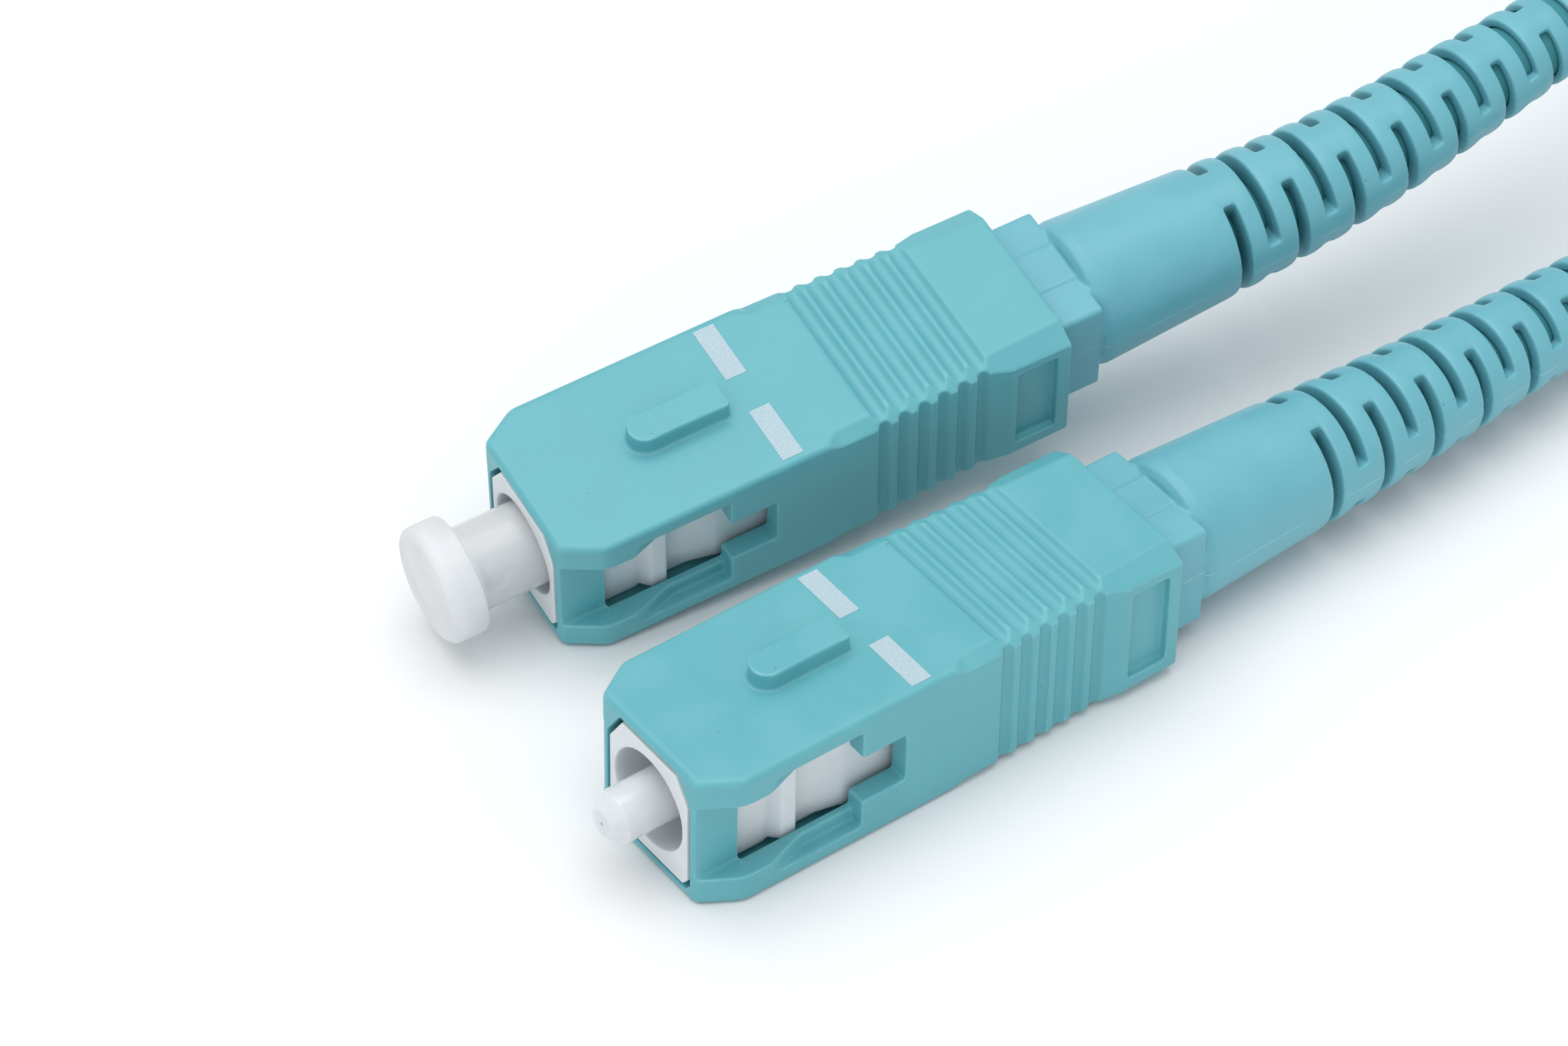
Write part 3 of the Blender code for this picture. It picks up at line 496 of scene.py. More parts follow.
def gripGroove(radius, reach, offset):
    # a round groove across the top, lifted to the depth that is wanted
    groove = rod(radius, -reach, reach, 32)
    groove.data.transform(Matrix.Rotation(math.radians(90.0), 4, "Z"))
    groove.data.transform(Matrix.Translation((0.0, 0.0, offset)))
    return groove


def gripGrooves():
    # right across the top and bottom, and up the tapered sides
    h = housing
    wide, high, past = h["halfWidth"], h["halfHeight"], h["past"]
    taperStart, deepest, _ = h["taper"]
    topRadius, topDepth = h["topGroove"]
    sideRadius, sideDepth = h["sideGroove"]
    row = []
    for index in range(h["grooves"]):
        x = h["grooveFirst"] + index * h["groovePitch"]
        drawnIn = h["taperDepth"] * (x - taperStart) / (deepest - taperStart)
        top = gripGroove(topRadius, wide + past, high + topRadius - topDepth)
        side = gripGroove(sideRadius, high + past, wide - drawnIn + sideRadius - sideDepth)
        side.data.transform(Matrix.Rotation(math.radians(90.0), 4, "X"))
        for groove, axis in ((top, "z"), (side, "y")):
            groove.data.transform(Matrix.Translation((x, 0.0, 0.0)))
            row += [groove, mirrored(groove, axis)]
    return row


def roundLongEdges(shell, rear, radius):
    # every edge but those round the rear end, whose faces are then split so that each is flat
    pick(shell, "EDGE", lambda low, high: min(low.x, high.x) < rear - 0.01)
    bpy.ops.mesh.bevel(offset=radius, segments=5, affect="EDGES")
    bpy.ops.mesh.select_all(action="SELECT")
    bpy.ops.mesh.quads_convert_to_tris()
    done()


def modelHousing():
    h = housing
    wide, high, length, past = h["halfWidth"], h["halfHeight"], h["length"], h["past"]
    shell = block((0.0, -wide, -high), (length, wide, high))
    shell.name = "housingShell"
    cornerLength, cornerWidth = h["corner"]
    for side in (1.0, -1.0):
        trim(shell, (0.0, side * (wide - cornerWidth), 0.0), (-cornerWidth, side * cornerLength, 0.0))
    roundLongEdges(shell, length, h["edge"])
    key = block(*h["key"])
    (nose, _, _), (heel, _, _) = h["key"]
    for end, offset in ((nose, h["keyNose"]), (heel, h["keyCorner"])):
        pick(key, "EDGE", lambda low, high: low.x == high.x and abs(low.x - end) < 0.01 and low.y == high.y)
        bpy.ops.mesh.bevel(offset=offset, segments=10, affect="EDGES")
        done()
    added(shell, key)
    mouthWidth, mouthHeight = h["mouth"]
    mouth = block((-past, -mouthWidth, -mouthHeight), (h["panelLength"] + 0.1, mouthWidth, mouthHeight))
    cut(shell, trimCorners(mouth, h["mouth"], h["mouthCorner"], h["mouthLowCorner"]))
    rearStart, rearWidth, rearHeight = h["rearCavity"]
    inner = h["cavityHalfWidth"]
    cavity = block((h["panelLength"], -inner, -mouthHeight), (rearStart + 0.1, inner, mouthHeight))
    cut(shell, trimCorners(cavity, (inner, mouthHeight), h["cavityCorner"]))
    cut(shell, block((rearStart, -rearWidth, -rearHeight), (length + past, rearWidth, rearHeight)))
    wedge = gripChamfer()
    oneSide = windowCutters() + [wedge, mirrored(wedge, "z"), gripTaper(), block(*h["pocket"])]
    for cutter in oneSide:
        cut(shell, mirrored(cutter, "y"))
        cut(shell, cutter)
    for groove in gripGrooves():
        cut(shell, groove)
    moulded(shell, h["voxel"], h["rounding"], h["triangles"])
    markPlace(shell)
    return shell


marks = {"length": (10.93, 11.97), "reach": (1.01, 4.08), "height": 3.7, "thickness": 0.02, "edge": 0.008}


def modelMarks():
    # two printed bars beside the key's rear end
    x, y, z = marks["length"], marks["reach"], marks["height"]
    bar = block((x[0], y[0], z - 0.05), (x[1], y[1], z + marks["thickness"]))
    pick(bar, "EDGE", lambda low, high: low.z > z and high.z > z)
    bpy.ops.mesh.bevel(offset=marks["edge"], segments=2, affect="EDGES")
    done()
    bars = joined([bar, mirrored(bar, "y")])
    markPlace(bars)
    return bars


plug = {
    "half": (2.8, 3.05),
    "corner": (0.85, 1.35),
    "lowCorner": (0.3, 0.4),
    "frontEnd": 4.16,
    "tallEnd": 12.03,
    "length": 16.33,
    "rear": (3.13, 2.64),
    "latchStart": 4.01,
    "latchSpan": (-2.55, 2.25),
    "ramp": ((4.11, 2.64), (4.69, 3.28)),
    "ribEnd": 5.48,
    "waist": 2.74,
    "rise": ((6.26, 2.74), (8.0, 3.13)),
    "bore": (2.44, 7.82),
    "webHole": (1.56, 9.39),
    "rearBore": 2.25,
    "voxel": 0.05,
    "rounding": 18,
    "triangles": 60000,
}


def rampTrim(piece, ramp):
    # slopes both flanks from the first point of a ramp to its second
    (x0, y0), (x1, y1) = ramp
    for side in (1.0, -1.0):
        trim(piece, (x0, side * y0, 0.0), (y0 - y1, side * (x1 - x0), 0.0))
    return piece


def modelPlug():
    p = plug
    wide, tall = p["half"]
    bottom, top = p["latchSpan"]
    rearWide, rearTall = p["rear"]
    body = block((0.0, -wide, -tall), (p["frontEnd"], wide, tall))
    trimCorners(body, p["half"], p["corner"], p["lowCorner"])
    body.name = "latchFrame"
    waist = p["waist"]
    middle = block((p["latchStart"], -waist, -tall), (p["tallEnd"], waist, tall))
    added(body, trimCorners(middle, (waist, tall), p["corner"], p["lowCorner"]))
    (rampStart, _), (_, ribFace) = p["ramp"]
    rib = block((rampStart, -ribFace, bottom), (p["ribEnd"], ribFace, top))
    added(body, rampTrim(rib, p["ramp"]))
    (riseStart, _), (riseEnd, _) = p["rise"]
    rise = block((riseStart, -rearWide, bottom), (riseEnd + 0.5, rearWide, top))
    added(body, rampTrim(rise, p["rise"]))
    added(body, block((riseEnd, -rearWide, -rearTall), (p["length"], rearWide, rearTall)))
    boreRadius, boreEnd = p["bore"]
    holeRadius, webEnd = p["webHole"]
    cut(body, rod(boreRadius, -1.0, boreEnd, 96))
    cut(body, rod(holeRadius, boreEnd - 0.2, webEnd + 0.2, 64))
    cut(body, rod(p["rearBore"], webEnd, p["length"] + 1.0, 64))
    moulded(body, p["voxel"], p["rounding"], p["triangles"])
    markPlace(body)
    return body


ferrule = {
    "radius": 1.25,
    "tip": -2.4,
    "tipRadius": 0.7,
    "chamfer": 0.59,
    "end": 10.07,
    "sides": 128,
    "rim": 0.035,
    "dome": 0.015,
}


def modelFerrule():
    f = ferrule
    shoulder = f["tip"] + f["chamfer"]
    body = rod(f["radius"], shoulder, f["end"], f["sides"])
    body.name = "ferruleRod"
    pick(body, "FACE", lambda centre, normal: normal.x < -0.9)
    bpy.ops.mesh.extrude_region_move(TRANSFORM_OT_translate={"value": (-f["chamfer"], 0.0, 0.0)})
    shrink = f["tipRadius"] / f["radius"]
    bpy.ops.transform.resize(value=(1.0, shrink, shrink))
    bpy.ops.mesh.inset(thickness=f["tipRadius"] * 0.5)
    bpy.ops.transform.translate(value=(-f["dome"], 0.0, 0.0))
    done()
    rims = (shoulder, f["tip"], f["end"])
    around = 2.0 * math.pi * f["tipRadius"] * 0.8 / f["sides"]

    def onRim(low, high):
        level = low.x == high.x and any(abs(low.x - rim) < 0.001 for rim in rims)
        return level and (low - high).length > around

    pick(body, "EDGE", onRim)
    bpy.ops.mesh.bevel(offset=f["rim"], segments=4, affect="EDGES")
    done()
    finished(body)
    markPlace(body)
    print("ferrule ground")
    return body


spring = {"start": 11.54, "end": 15.26, "radius": 1.68, "wire": 0.2, "turns": 4, "steps": 40, "sides": 14}


def modelSpring():
    s = spring
    length = s["end"] - s["start"] - 2.0 * s["wire"]
    bpy.ops.object.select_all(action="DESELECT")
    place = (s["radius"], 0.0, s["start"] + s["wire"])
    turn = (math.radians(90.0), 0.0, 0.0)
    bpy.ops.mesh.primitive_circle_add(vertices=s["sides"], radius=s["wire"], location=place, rotation=turn)
    bpy.ops.object.transform_apply(location=True, rotation=True, scale=True)
    wire = bpy.context.object
    wire.name = "springWire"
    pitch = length / s["turns"]
    steps = s["steps"]
    applied(wire, "SCREW", screw_offset=pitch, iterations=s["turns"], steps=steps, render_steps=steps)
    only(wire)
    bpy.ops.object.mode_set(mode="EDIT")
    bpy.ops.mesh.select_all(action="SELECT")
    bpy.ops.mesh.remove_doubles(threshold=0.001)
    bpy.ops.mesh.select_mode(type="EDGE")
    bpy.ops.mesh.select_all(action="DESELECT")
    bpy.ops.mesh.select_non_manifold(extend=False)
    bpy.ops.mesh.edge_face_add()
    bpy.ops.mesh.select_all(action="SELECT")
    bpy.ops.mesh.normals_make_consistent(inside=False)
    done()
    wire.data.transform(Matrix.Rotation(math.radians(90.0), 4, "Y"))
    only(wire)
    bpy.ops.object.shade_smooth_by_angle(angle=math.radians(50.0))
    markPlace(wire)
    print("spring wound")
    return wire


boot = {
    "collar": ((24.06, -3.25, -2.75), (28.0, 3.25, 2.75)),
    "collarCorner": 0.15,
    "panel": ((24.06, -1.1, -2.84), (28.0, 1.1, 2.84)),
    "nose": ((27.9, 3.1), (28.12, 3.4)),
    "shoulder": (28.55, 3.53),
    "tail": 58.2,
    "tailRadius": 2.05,
    "bore": 1.76,
    "frontBore": (2.35, 26.71),
    "slots": 14,
    "slotFirst": 35.95,
    "slotPitch": 1.56,
    "slotWidth": 0.62,
    "slotAngle": 150.0,
    "slotApex": 0.3,
    "ringPress": 0.05,
    "ringReach": 0.45,
    "ringSkin": 0.5,
    "ringBlend": 24.0,
    "voxel": 0.06,
    "rounding": 15,
    "triangles": 110000,
}


def slotWedge(middle, turn):
    # a wide slot that opens toward +y, turned round the boot's axis
    b = boot
    half, reach = 0.5 * b["slotWidth"], b["shoulder"][1] + 2.0
    wedge = block((middle - half, b["slotApex"], -reach), (middle + half, reach, reach))
    for up in (1.0, -1.0):
        angle = math.radians(0.5 * b["slotAngle"])
        trim(wedge, (middle, b["slotApex"], 0.0), (0.0, -math.sin(angle), up * math.cos(angle)))
    wedge.data.transform(Matrix.Rotation(math.radians(turn), 4, "X"))
    return wedge


def coneSlope():
    start, radius = boot["shoulder"]
    return (boot["tailRadius"] - radius) / (boot["tail"] - start)


def domeRings(piece):
    # presses the slots' outer edges in, so that the rings between them bulge
    b = boot
    spots = np.zeros(len(piece.data.vertices) * 3, np.float32)
    piece.data.vertices.foreach_get("co", spots)
    spots = spots.reshape(-1, 3)
    x, y, z = spots.T
    radius = np.maximum(np.hypot(y, z), 0.1)
    depth = b["shoulder"][1] + coneSlope() * (x - b["shoulder"][0]) - radius
    fromSide = np.degrees(np.arctan2(np.abs(z), np.abs(y)))
    press = np.zeros_like(x)
    for index in range(b["slots"]):
        away = np.abs(x - b["slotFirst"] - index * b["slotPitch"]) - 0.5 * b["slotWidth"]
        near = np.clip(1.0 - away / b["ringReach"], 0.0, 1.0)
        angle = fromSide if index % 2 == 0 else 90.0 - fromSide
        within = np.clip((0.5 * b["slotAngle"] - angle) / b["ringBlend"] + 0.5, 0.0, 1.0)
        press = np.maximum(press, b["ringPress"] * near**2 * within)
    press *= np.clip(1.0 - depth / b["ringSkin"], 0.0, 1.0)
    spots[:, 1:] *= (1.0 - press / radius)[:, None]
    piece.data.vertices.foreach_set("co", spots.ravel())
    piece.data.update()


def modelBoot():
    b = boot
    body = block(*b["collar"])
    body.name = "bootSleeve"
    wide, tall = b["collar"][1][1:]
    trimCorners(body, (wide, tall), (b["collarCorner"], b["collarCorner"]))
    added(body, block(*b["panel"]))
    stations = [*b["nose"], b["shoulder"], (b["tail"], b["tailRadius"])]
    for (start, radius), (stop, endRadius) in zip(stations, stations[1:]):
        added(body, rod(radius, start, stop, 128, endRadius))
    frontRadius, frontEnd = b["frontBore"]
    cut(body, rod(frontRadius, b["collar"][0][0] - 1.0, frontEnd, 64))
    cut(body, rod(b["bore"], frontEnd - 0.2, b["tail"] + 1.0, 64))
    for index in range(b["slots"]):
        middle = b["slotFirst"] + index * b["slotPitch"]
        for half in (0.0, 180.0):
            cut(body, slotWedge(middle, half + 90.0 * (index % 2)))
    moulded(body, b["voxel"], b["rounding"], b["triangles"], domeRings)
    markPlace(body)
    return body


core = {"radius": 1.72, "start": 24.06, "end": 57.0, "rings": 40, "sides": 40}


def modelCore():
    # the stretch of cable inside the boot, seen through its slots
    body = rod(core["radius"], core["start"], core["end"], core["sides"])
    body.name = "jacketInBoot"
    pick(body, "EDGE", lambda low, high: abs(low.x - high.x) > 1.0)
    bpy.ops.mesh.subdivide(number_cuts=core["rings"])
    done()
    only(body)
    bpy.ops.object.shade_smooth_by_angle(angle=math.radians(40.0))
    markPlace(body)
    return body


cap = {
    "front": -4.9,
    "headEnd": -3.1,
    "headRadius": 2.8,
    "frontEdge": 0.5,
    "rearEdge": 0.18,
    "tubeRadius": 2.0,
    "bore": 1.55,
    "end": 5.4,
    "boreFront": -2.7,
    "sides": 128,
    "dish": (1.55, 0.06),
}


def modelCap():
    c = cap
    body = rod(c["headRadius"], c["front"], c["headEnd"], c["sides"])
    body.name = "endCap"
    pick(body, "FACE", lambda centre, normal: normal.x > 0.9)
    bpy.ops.mesh.inset(thickness=c["headRadius"] - c["tubeRadius"])
    bpy.ops.mesh.extrude_region_move(TRANSFORM_OT_translate={"value": (c["end"] - c["headEnd"], 0.0, 0.0)})
    bpy.ops.mesh.inset(thickness=c["tubeRadius"] - c["bore"])
    bpy.ops.mesh.extrude_region_move(TRANSFORM_OT_translate={"value": (c["boreFront"] - c["end"], 0.0, 0.0)})
    done()

    def rim(place, radius):
        def test(low, high):
            level = abs(low.x - place) < 0.001 and abs(high.x - place) < 0.001
            return level and all(abs(math.hypot(end.y, end.z) - radius) < 0.02 for end in (low, high))

        return test

    edges = (
        (c["front"], c["headRadius"], c["frontEdge"]),
        (c["headEnd"], c["headRadius"], c["rearEdge"]),
        (c["headEnd"], c["tubeRadius"], c["rearEdge"]),
        (c["end"], c["tubeRadius"], c["rearEdge"]),
        (c["end"], c["bore"], c["rearEdge"] * 0.6),
    )
    for place, radius, width in edges:
        pick(body, "EDGE", rim(place, radius))
        bpy.ops.mesh.bevel(offset=width, segments=6, affect="EDGES")
        done()
    dishRadius, dishDepth = c["dish"]
    pick(body, "FACE", lambda centre, normal: normal.x < -0.9 and abs(centre.x - c["front"]) < 0.001)
    bpy.ops.mesh.inset(thickness=c["headRadius"] - c["frontEdge"] - dishRadius)
    bpy.ops.mesh.inset(thickness=0.25)
    bpy.ops.transform.translate(value=(dishDepth, 0.0, 0.0))
    done()
    finished(body)
    markPlace(body)
    print("cap turned")
    return body


strap = {
    "halfWidth": 3.0,
    "thickness": 0.5,
    "corner": 1.6,
    "hem": 0.12,
    "flap": (4.0, 1.4, 0.03),
    "clearance": 0.6,
    "gap": 0.3,
}


def modelStrap():
    # a flat band round all the loops at the waist of the hank, with its free end lapped on top
    s = strap
    waist = hank["radius"] - hank["waist"] + cable["radius"] + s["clearance"]
    low = hank["centre"][1] - waist
    high = hank["centre"][1] + waist - 0.5 * hank["turnPitch"]
    top = hank["base"] + (hank["layers"] - 1) * hank["layerPitch"] + cable["radius"] + s["gap"]
    x, half, thick = hank["centre"][0], s["halfWidth"], s["thickness"]
    band = block((x - half, low, thick), (x + half, high, top))
    band.name = "hankStrap"
    pick(band, "FACE", lambda centre, normal: abs(normal.x) > 0.9)
    bpy.ops.mesh.delete(type="FACE")
    done()
    pick(band, "EDGE", lambda start, stop: abs(start.x - stop.x) > 1.0)
    bpy.ops.mesh.bevel(offset=s["corner"], segments=8, affect="EDGES")
    done()
    applied(band, "SOLIDIFY", thickness=thick, offset=1.0)
    fromEnd, endCorner, lift = s["flap"]
    floor = top + thick + lift
    flap = block((x - half + 0.1, low + fromEnd, floor), (x + half - 0.1, high - s["corner"], floor + thick))
    pick(flap, "EDGE", lambda start, stop: abs(start.z - stop.z) > 0.1 and start.y < low + fromEnd + 0.01)
    bpy.ops.mesh.bevel(offset=endCorner, segments=6, affect="EDGES")
    done()
    band = joined([band, flap])
    applied(band, "BEVEL", width=s["hem"], segments=3, limit_method="ANGLE", angle_limit=math.radians(40.0))
    only(band)
    bpy.ops.object.shade_smooth_by_angle(angle=math.radians(35.0))
    toPart = Matrix.Scale(mm, 4) @ Matrix.Translation((-layout["centre"][0], -layout["centre"][1], 0.0))
    band.data.transform(toPart)
    print("strap cut")
    return band


def newGroup(name, inputs, outputs):
    group = bpy.data.node_groups.new(name, "ShaderNodeTree")
    for label, kind in inputs:
        group.interface.new_socket(label, in_out="INPUT", socket_type=kind)
    for label in outputs:
        group.interface.new_socket(label, in_out="OUTPUT", socket_type="NodeSocketFloat")
    return group, group.nodes.new("NodeGroupInput"), group.nodes.new("NodeGroupOutput")


def math2(tree, operation, first, second):
    # a Math node whose inputs are sockets or numbers
    node = tree.nodes.new("ShaderNodeMath")
    node.operation = operation
    for socket, value in zip(node.inputs, (first, second)):
        if isinstance(value, bpy.types.NodeSocket):
            tree.links.new(value, socket)
        else:
            socket.default_value = value
    return node.outputs[0]


def ramped(tree, value, fromLow, fromHigh, toLow=0.0, toHigh=1.0):
    node = tree.nodes.new("ShaderNodeMapRange")
    node.interpolation_type = "SMOOTHSTEP"
    for index, setting in enumerate((value, fromLow, fromHigh, toLow, toHigh)):
        if isinstance(setting, bpy.types.NodeSocket):
            tree.links.new(setting, node.inputs[index])
        else:
            node.inputs[index].default_value = setting
    return node.outputs[0]


def noise(tree, place, scale, detail=2.0):
    node = tree.nodes.new("ShaderNodeTexNoise")
    node.inputs["Detail"].default_value = detail
    tree.links.new(place, node.inputs["Vector"])
    if isinstance(scale, bpy.types.NodeSocket):
        tree.links.new(scale, node.inputs["Scale"])
    else:
        node.inputs["Scale"].default_value = scale
    return node.outputs[0]


def makeMouldGrain():
    # fine texture of a moulded skin, and slow drifts in its tone
    inputs = (("Place", "NodeSocketVector"), ("Grain", "NodeSocketFloat"), ("Drift", "NodeSocketFloat"))
    group, entry, leave = newGroup("mouldGrain", inputs, ("Height", "Tone"))
    group.links.new(noise(group, entry.outputs["Place"], entry.outputs["Grain"], 3.0), leave.inputs["Height"])
    drift = noise(group, entry.outputs["Place"], entry.outputs["Drift"], 4.0)
    group.links.new(ramped(group, drift, 0.3, 0.7), leave.inputs["Tone"])
    return group


def makeDustSpecks():
    # sparse dots of dust: most cells are left empty
    inputs = (
        ("Place", "NodeSocketVector"),
        ("Cells", "NodeSocketFloat"),
        ("Size", "NodeSocketFloat"),
        ("Empty", "NodeSocketFloat"),
    )
    group, entry, leave = newGroup("dustSpecks", inputs, ("Mask",))
    cells = group.nodes.new("ShaderNodeTexVoronoi")
    group.links.new(entry.outputs["Place"], cells.inputs["Vector"])
    group.links.new(entry.outputs["Cells"], cells.inputs["Scale"])
    size = entry.outputs["Size"]
    dot = ramped(group, cells.outputs["Distance"], size, math2(group, "MULTIPLY", size, 0.5))
    draw = group.nodes.new("ShaderNodeSeparateColor")
    group.links.new(cells.outputs["Color"], draw.inputs[0])
    kept = math2(group, "GREATER_THAN", draw.outputs[0], entry.outputs["Empty"])
    group.links.new(math2(group, "MULTIPLY", dot, kept), leave.inputs["Mask"])
    return group


def makeEdgeWearAndHighlight():
    # paler plastic where an edge bulges: partly wear from handling, partly a painted highlight along the edge
    inputs = (("Place", "NodeSocketVector"), ("Bulge", "NodeSocketFloat"), ("Sharpest", "NodeSocketFloat"))
    group, entry, leave = newGroup("edgeWearAndHighlight", inputs, ("Mask",))
    sharp = ramped(group, entry.outputs["Bulge"], 0.8, entry.outputs["Sharpest"])
    patchy = ramped(group, noise(group, entry.outputs["Place"], 2.2, 4.0), 0.25, 0.65, 0.35, 1.0)
    group.links.new(math2(group, "MULTIPLY", sharp, patchy), leave.inputs["Mask"])
    return group


def makeMouldSeam():
    # faint line where the halves of a mould met, broken here and there
    inputs = (("Place", "NodeSocketVector"), ("Across", "NodeSocketFloat"), ("Width", "NodeSocketFloat"))
    group, entry, leave = newGroup("mouldSeam", inputs, ("Mask",))
    away = math2(group, "ABSOLUTE", entry.outputs["Across"], 0.0)
    line = ramped(group, away, entry.outputs["Width"], math2(group, "MULTIPLY", entry.outputs["Width"], 0.3))
    broken = ramped(group, noise(group, entry.outputs["Place"], 1.1, 3.0), 0.36, 0.6)
    group.links.new(math2(group, "MULTIPLY", line, broken), leave.inputs["Mask"])
    return group


mouldGrain = makeMouldGrain()
dustSpecks = makeDustSpecks()
edgeWearAndHighlight = makeEdgeWearAndHighlight()
mouldSeam = makeMouldSeam()


def newFinish(name):
    material = bpy.data.materials.new(name)
    material.use_nodes = True
    return material, material.node_tree, material.node_tree.nodes["Principled BSDF"]


def useGroup(tree, group, **inputs):
    node = tree.nodes.new("ShaderNodeGroup")
    node.node_tree = group
    for label, value in inputs.items():
        if isinstance(value, bpy.types.NodeSocket):
            tree.links.new(value, node.inputs[label])
        else:
            node.inputs[label].default_value = value
    return node.outputs


def benchPlace(tree):
    node = tree.nodes.new("ShaderNodeAttribute")
    node.attribute_name = "benchPlace"
    return node.outputs["Vector"]


def edgeBulge(tree):
    node = tree.nodes.new("ShaderNodeAttribute")
    node.attribute_name = "edgeBulge"
    return node.outputs["Fac"]


def objectPlace(tree, stretch=(1.0, 1.0, 1.0)):
    # object coordinates in millimetres
    coordinates = tree.nodes.new("ShaderNodeTexCoord")
    mapping = tree.nodes.new("ShaderNodeMapping")
    mapping.inputs["Scale"].default_value = [1000.0 * share for share in stretch]
    tree.links.new(coordinates.outputs["Object"], mapping.inputs["Vector"])
    return mapping.outputs[0]


def parts(tree, place):
    node = tree.nodes.new("ShaderNodeSeparateXYZ")
    tree.links.new(place, node.inputs[0])
    return node.outputs


def mixed(tree, mask, first, second):
    node = tree.nodes.new("ShaderNodeMix")
    node.data_type = "RGBA"
    for socket, value in ((node.inputs[0], mask), (node.inputs[6], first), (node.inputs[7], second)):
        if isinstance(value, bpy.types.NodeSocket):
            tree.links.new(value, socket)
        else:
            socket.default_value = value if isinstance(value, float) else (*value, 1.0)
    return node.outputs[2]


def embossed(tree, shader, height, strength, depth):
    bump = tree.nodes.new("ShaderNodeBump")
    bump.inputs["Strength"].default_value = strength
    bump.inputs["Distance"].default_value = depth * mm
    tree.links.new(height, bump.inputs["Height"])
    tree.links.new(bump.outputs[0], shader.inputs["Normal"])


def softGlow(shader, weight, depth, colour):
    shader.inputs["Subsurface Weight"].default_value = weight
    shader.inputs["Subsurface Scale"].default_value = depth * mm
    shader.inputs["Subsurface Radius"].default_value = colour


aqua = {
    "shell": {
        "tones": ((0.110, 0.405, 0.455), (0.124, 0.428, 0.478)),
        "rough": (0.34, 0.46),
        "seam": (0.035, 0.08),
        "wearAndHighlight": 0.2,
        "glow": 0.08,
    },
    "boot": {
        "tones": ((0.138, 0.420, 0.495), (0.150, 0.445, 0.520)),
        "rough": (0.36, 0.46),
        "seam": (0.045, 0.42),
        "wearAndHighlight": 0.08,
        "glow": 0.06,
    },
    "jacket": {
        "tones": ((0.112, 0.400, 0.460), (0.125, 0.425, 0.485)),
        "rough": (0.42, 0.52),
        "gloss": 0.5,
    },
    # a darker copy of the jacket: painted shade for the stretch inside the boot
    "shadedJacket": {
        "tones": ((0.060, 0.265, 0.300), (0.070, 0.290, 0.325)),
        "rough": (0.75, 0.85),
        "gloss": 0.05,
    },
    # edge colour: partly wear, partly a painted highlight
    "wornAndHighlit": (0.42, 0.78, 0.82),
    "speck": (0.04, 0.10, 0.12),
    "seamed": (0.36, 0.74, 0.78),
    # painted shade for the boot's slot walls
    "slotShadeTone": (0.060, 0.245, 0.280),
}


def makeAquaMoulding(name, look, across, shade=None):
    material, tree, shader = newFinish(name)
    seamWidth, seamShow = look["seam"]
    place = benchPlace(tree)
    grain = useGroup(tree, mouldGrain, Place=place, Grain=9.0, Drift=0.35)
    wearAndHighlight = useGroup(tree, edgeWearAndHighlight, Place=place, Bulge=edgeBulge(tree), Sharpest=5.0)
    specks = useGroup(tree, dustSpecks, Place=place, Cells=1.1, Size=0.055, Empty=0.86)
    seam = useGroup(tree, mouldSeam, Place=place, Across=across(tree, place), Width=seamWidth)
    colour = mixed(tree, grain["Tone"], *look["tones"])
    # paler edges, partly wear and partly a painted highlight
    colour = mixed(tree, math2(tree, "MULTIPLY", wearAndHighlight["Mask"], look["wearAndHighlight"]), colour, aqua["wornAndHighlit"])
    colour = mixed(tree, math2(tree, "MULTIPLY", seam["Mask"], seamShow), colour, aqua["seamed"])
    colour = mixed(tree, math2(tree, "MULTIPLY", specks["Mask"], 0.8), colour, aqua["speck"])
    # painted shade where the given mask is high, toward the slot shade tone
    if shade:
        colour = mixed(tree, shade(tree, place), colour, aqua["slotShadeTone"])
    tree.links.new(colour, shader.inputs["Base Color"])
    height = math2(tree, "ADD", grain["Height"], math2(tree, "MULTIPLY", seam["Mask"], seamShow))
    embossed(tree, shader, height, 0.35, 0.012)
    tree.links.new(ramped(tree, grain["Tone"], 0.0, 1.0, *look["rough"]), shader.inputs["Roughness"])
    softGlow(shader, look["glow"], 0.5, (0.4, 0.9, 1.0))
    return material


def fromAxis(tree, axes):
    squares = [math2(tree, "POWER", axes[axis], 2.0) for axis in "YZ"]
    return math2(tree, "SQRT", math2(tree, "ADD", *squares), 0.0)


def slotShade(tree, place):
    # painted shade: the slots' walls are darkened below the cone's surface
    axes = parts(tree, place)
    start, radius = boot["shoulder"]
    along = math2(tree, "SUBTRACT", axes["X"], start)
    surface = math2(tree, "ADD", math2(tree, "MULTIPLY", along, coneSlope()), radius)
    below = math2(tree, "SUBTRACT", surface, fromAxis(tree, axes))
    ringed = math2(tree, "GREATER_THAN", axes["X"], boot["slotFirst"] - boot["slotPitch"])
    return math2(tree, "MULTIPLY", ramped(tree, below, 0.3, 1.0, 0.0, 0.7), ringed)


def shellSeam(tree, place):
    return parts(tree, place)["Y"]


def bootSeam(tree, place):
    # half way up, with a small step where the collar meets the cone
    axes = parts(tree, place)
    step = math2(tree, "MULTIPLY", math2(tree, "LESS_THAN", axes["X"], 28.0), 0.16)
    return math2(tree, "SUBTRACT", axes["Z"], step)


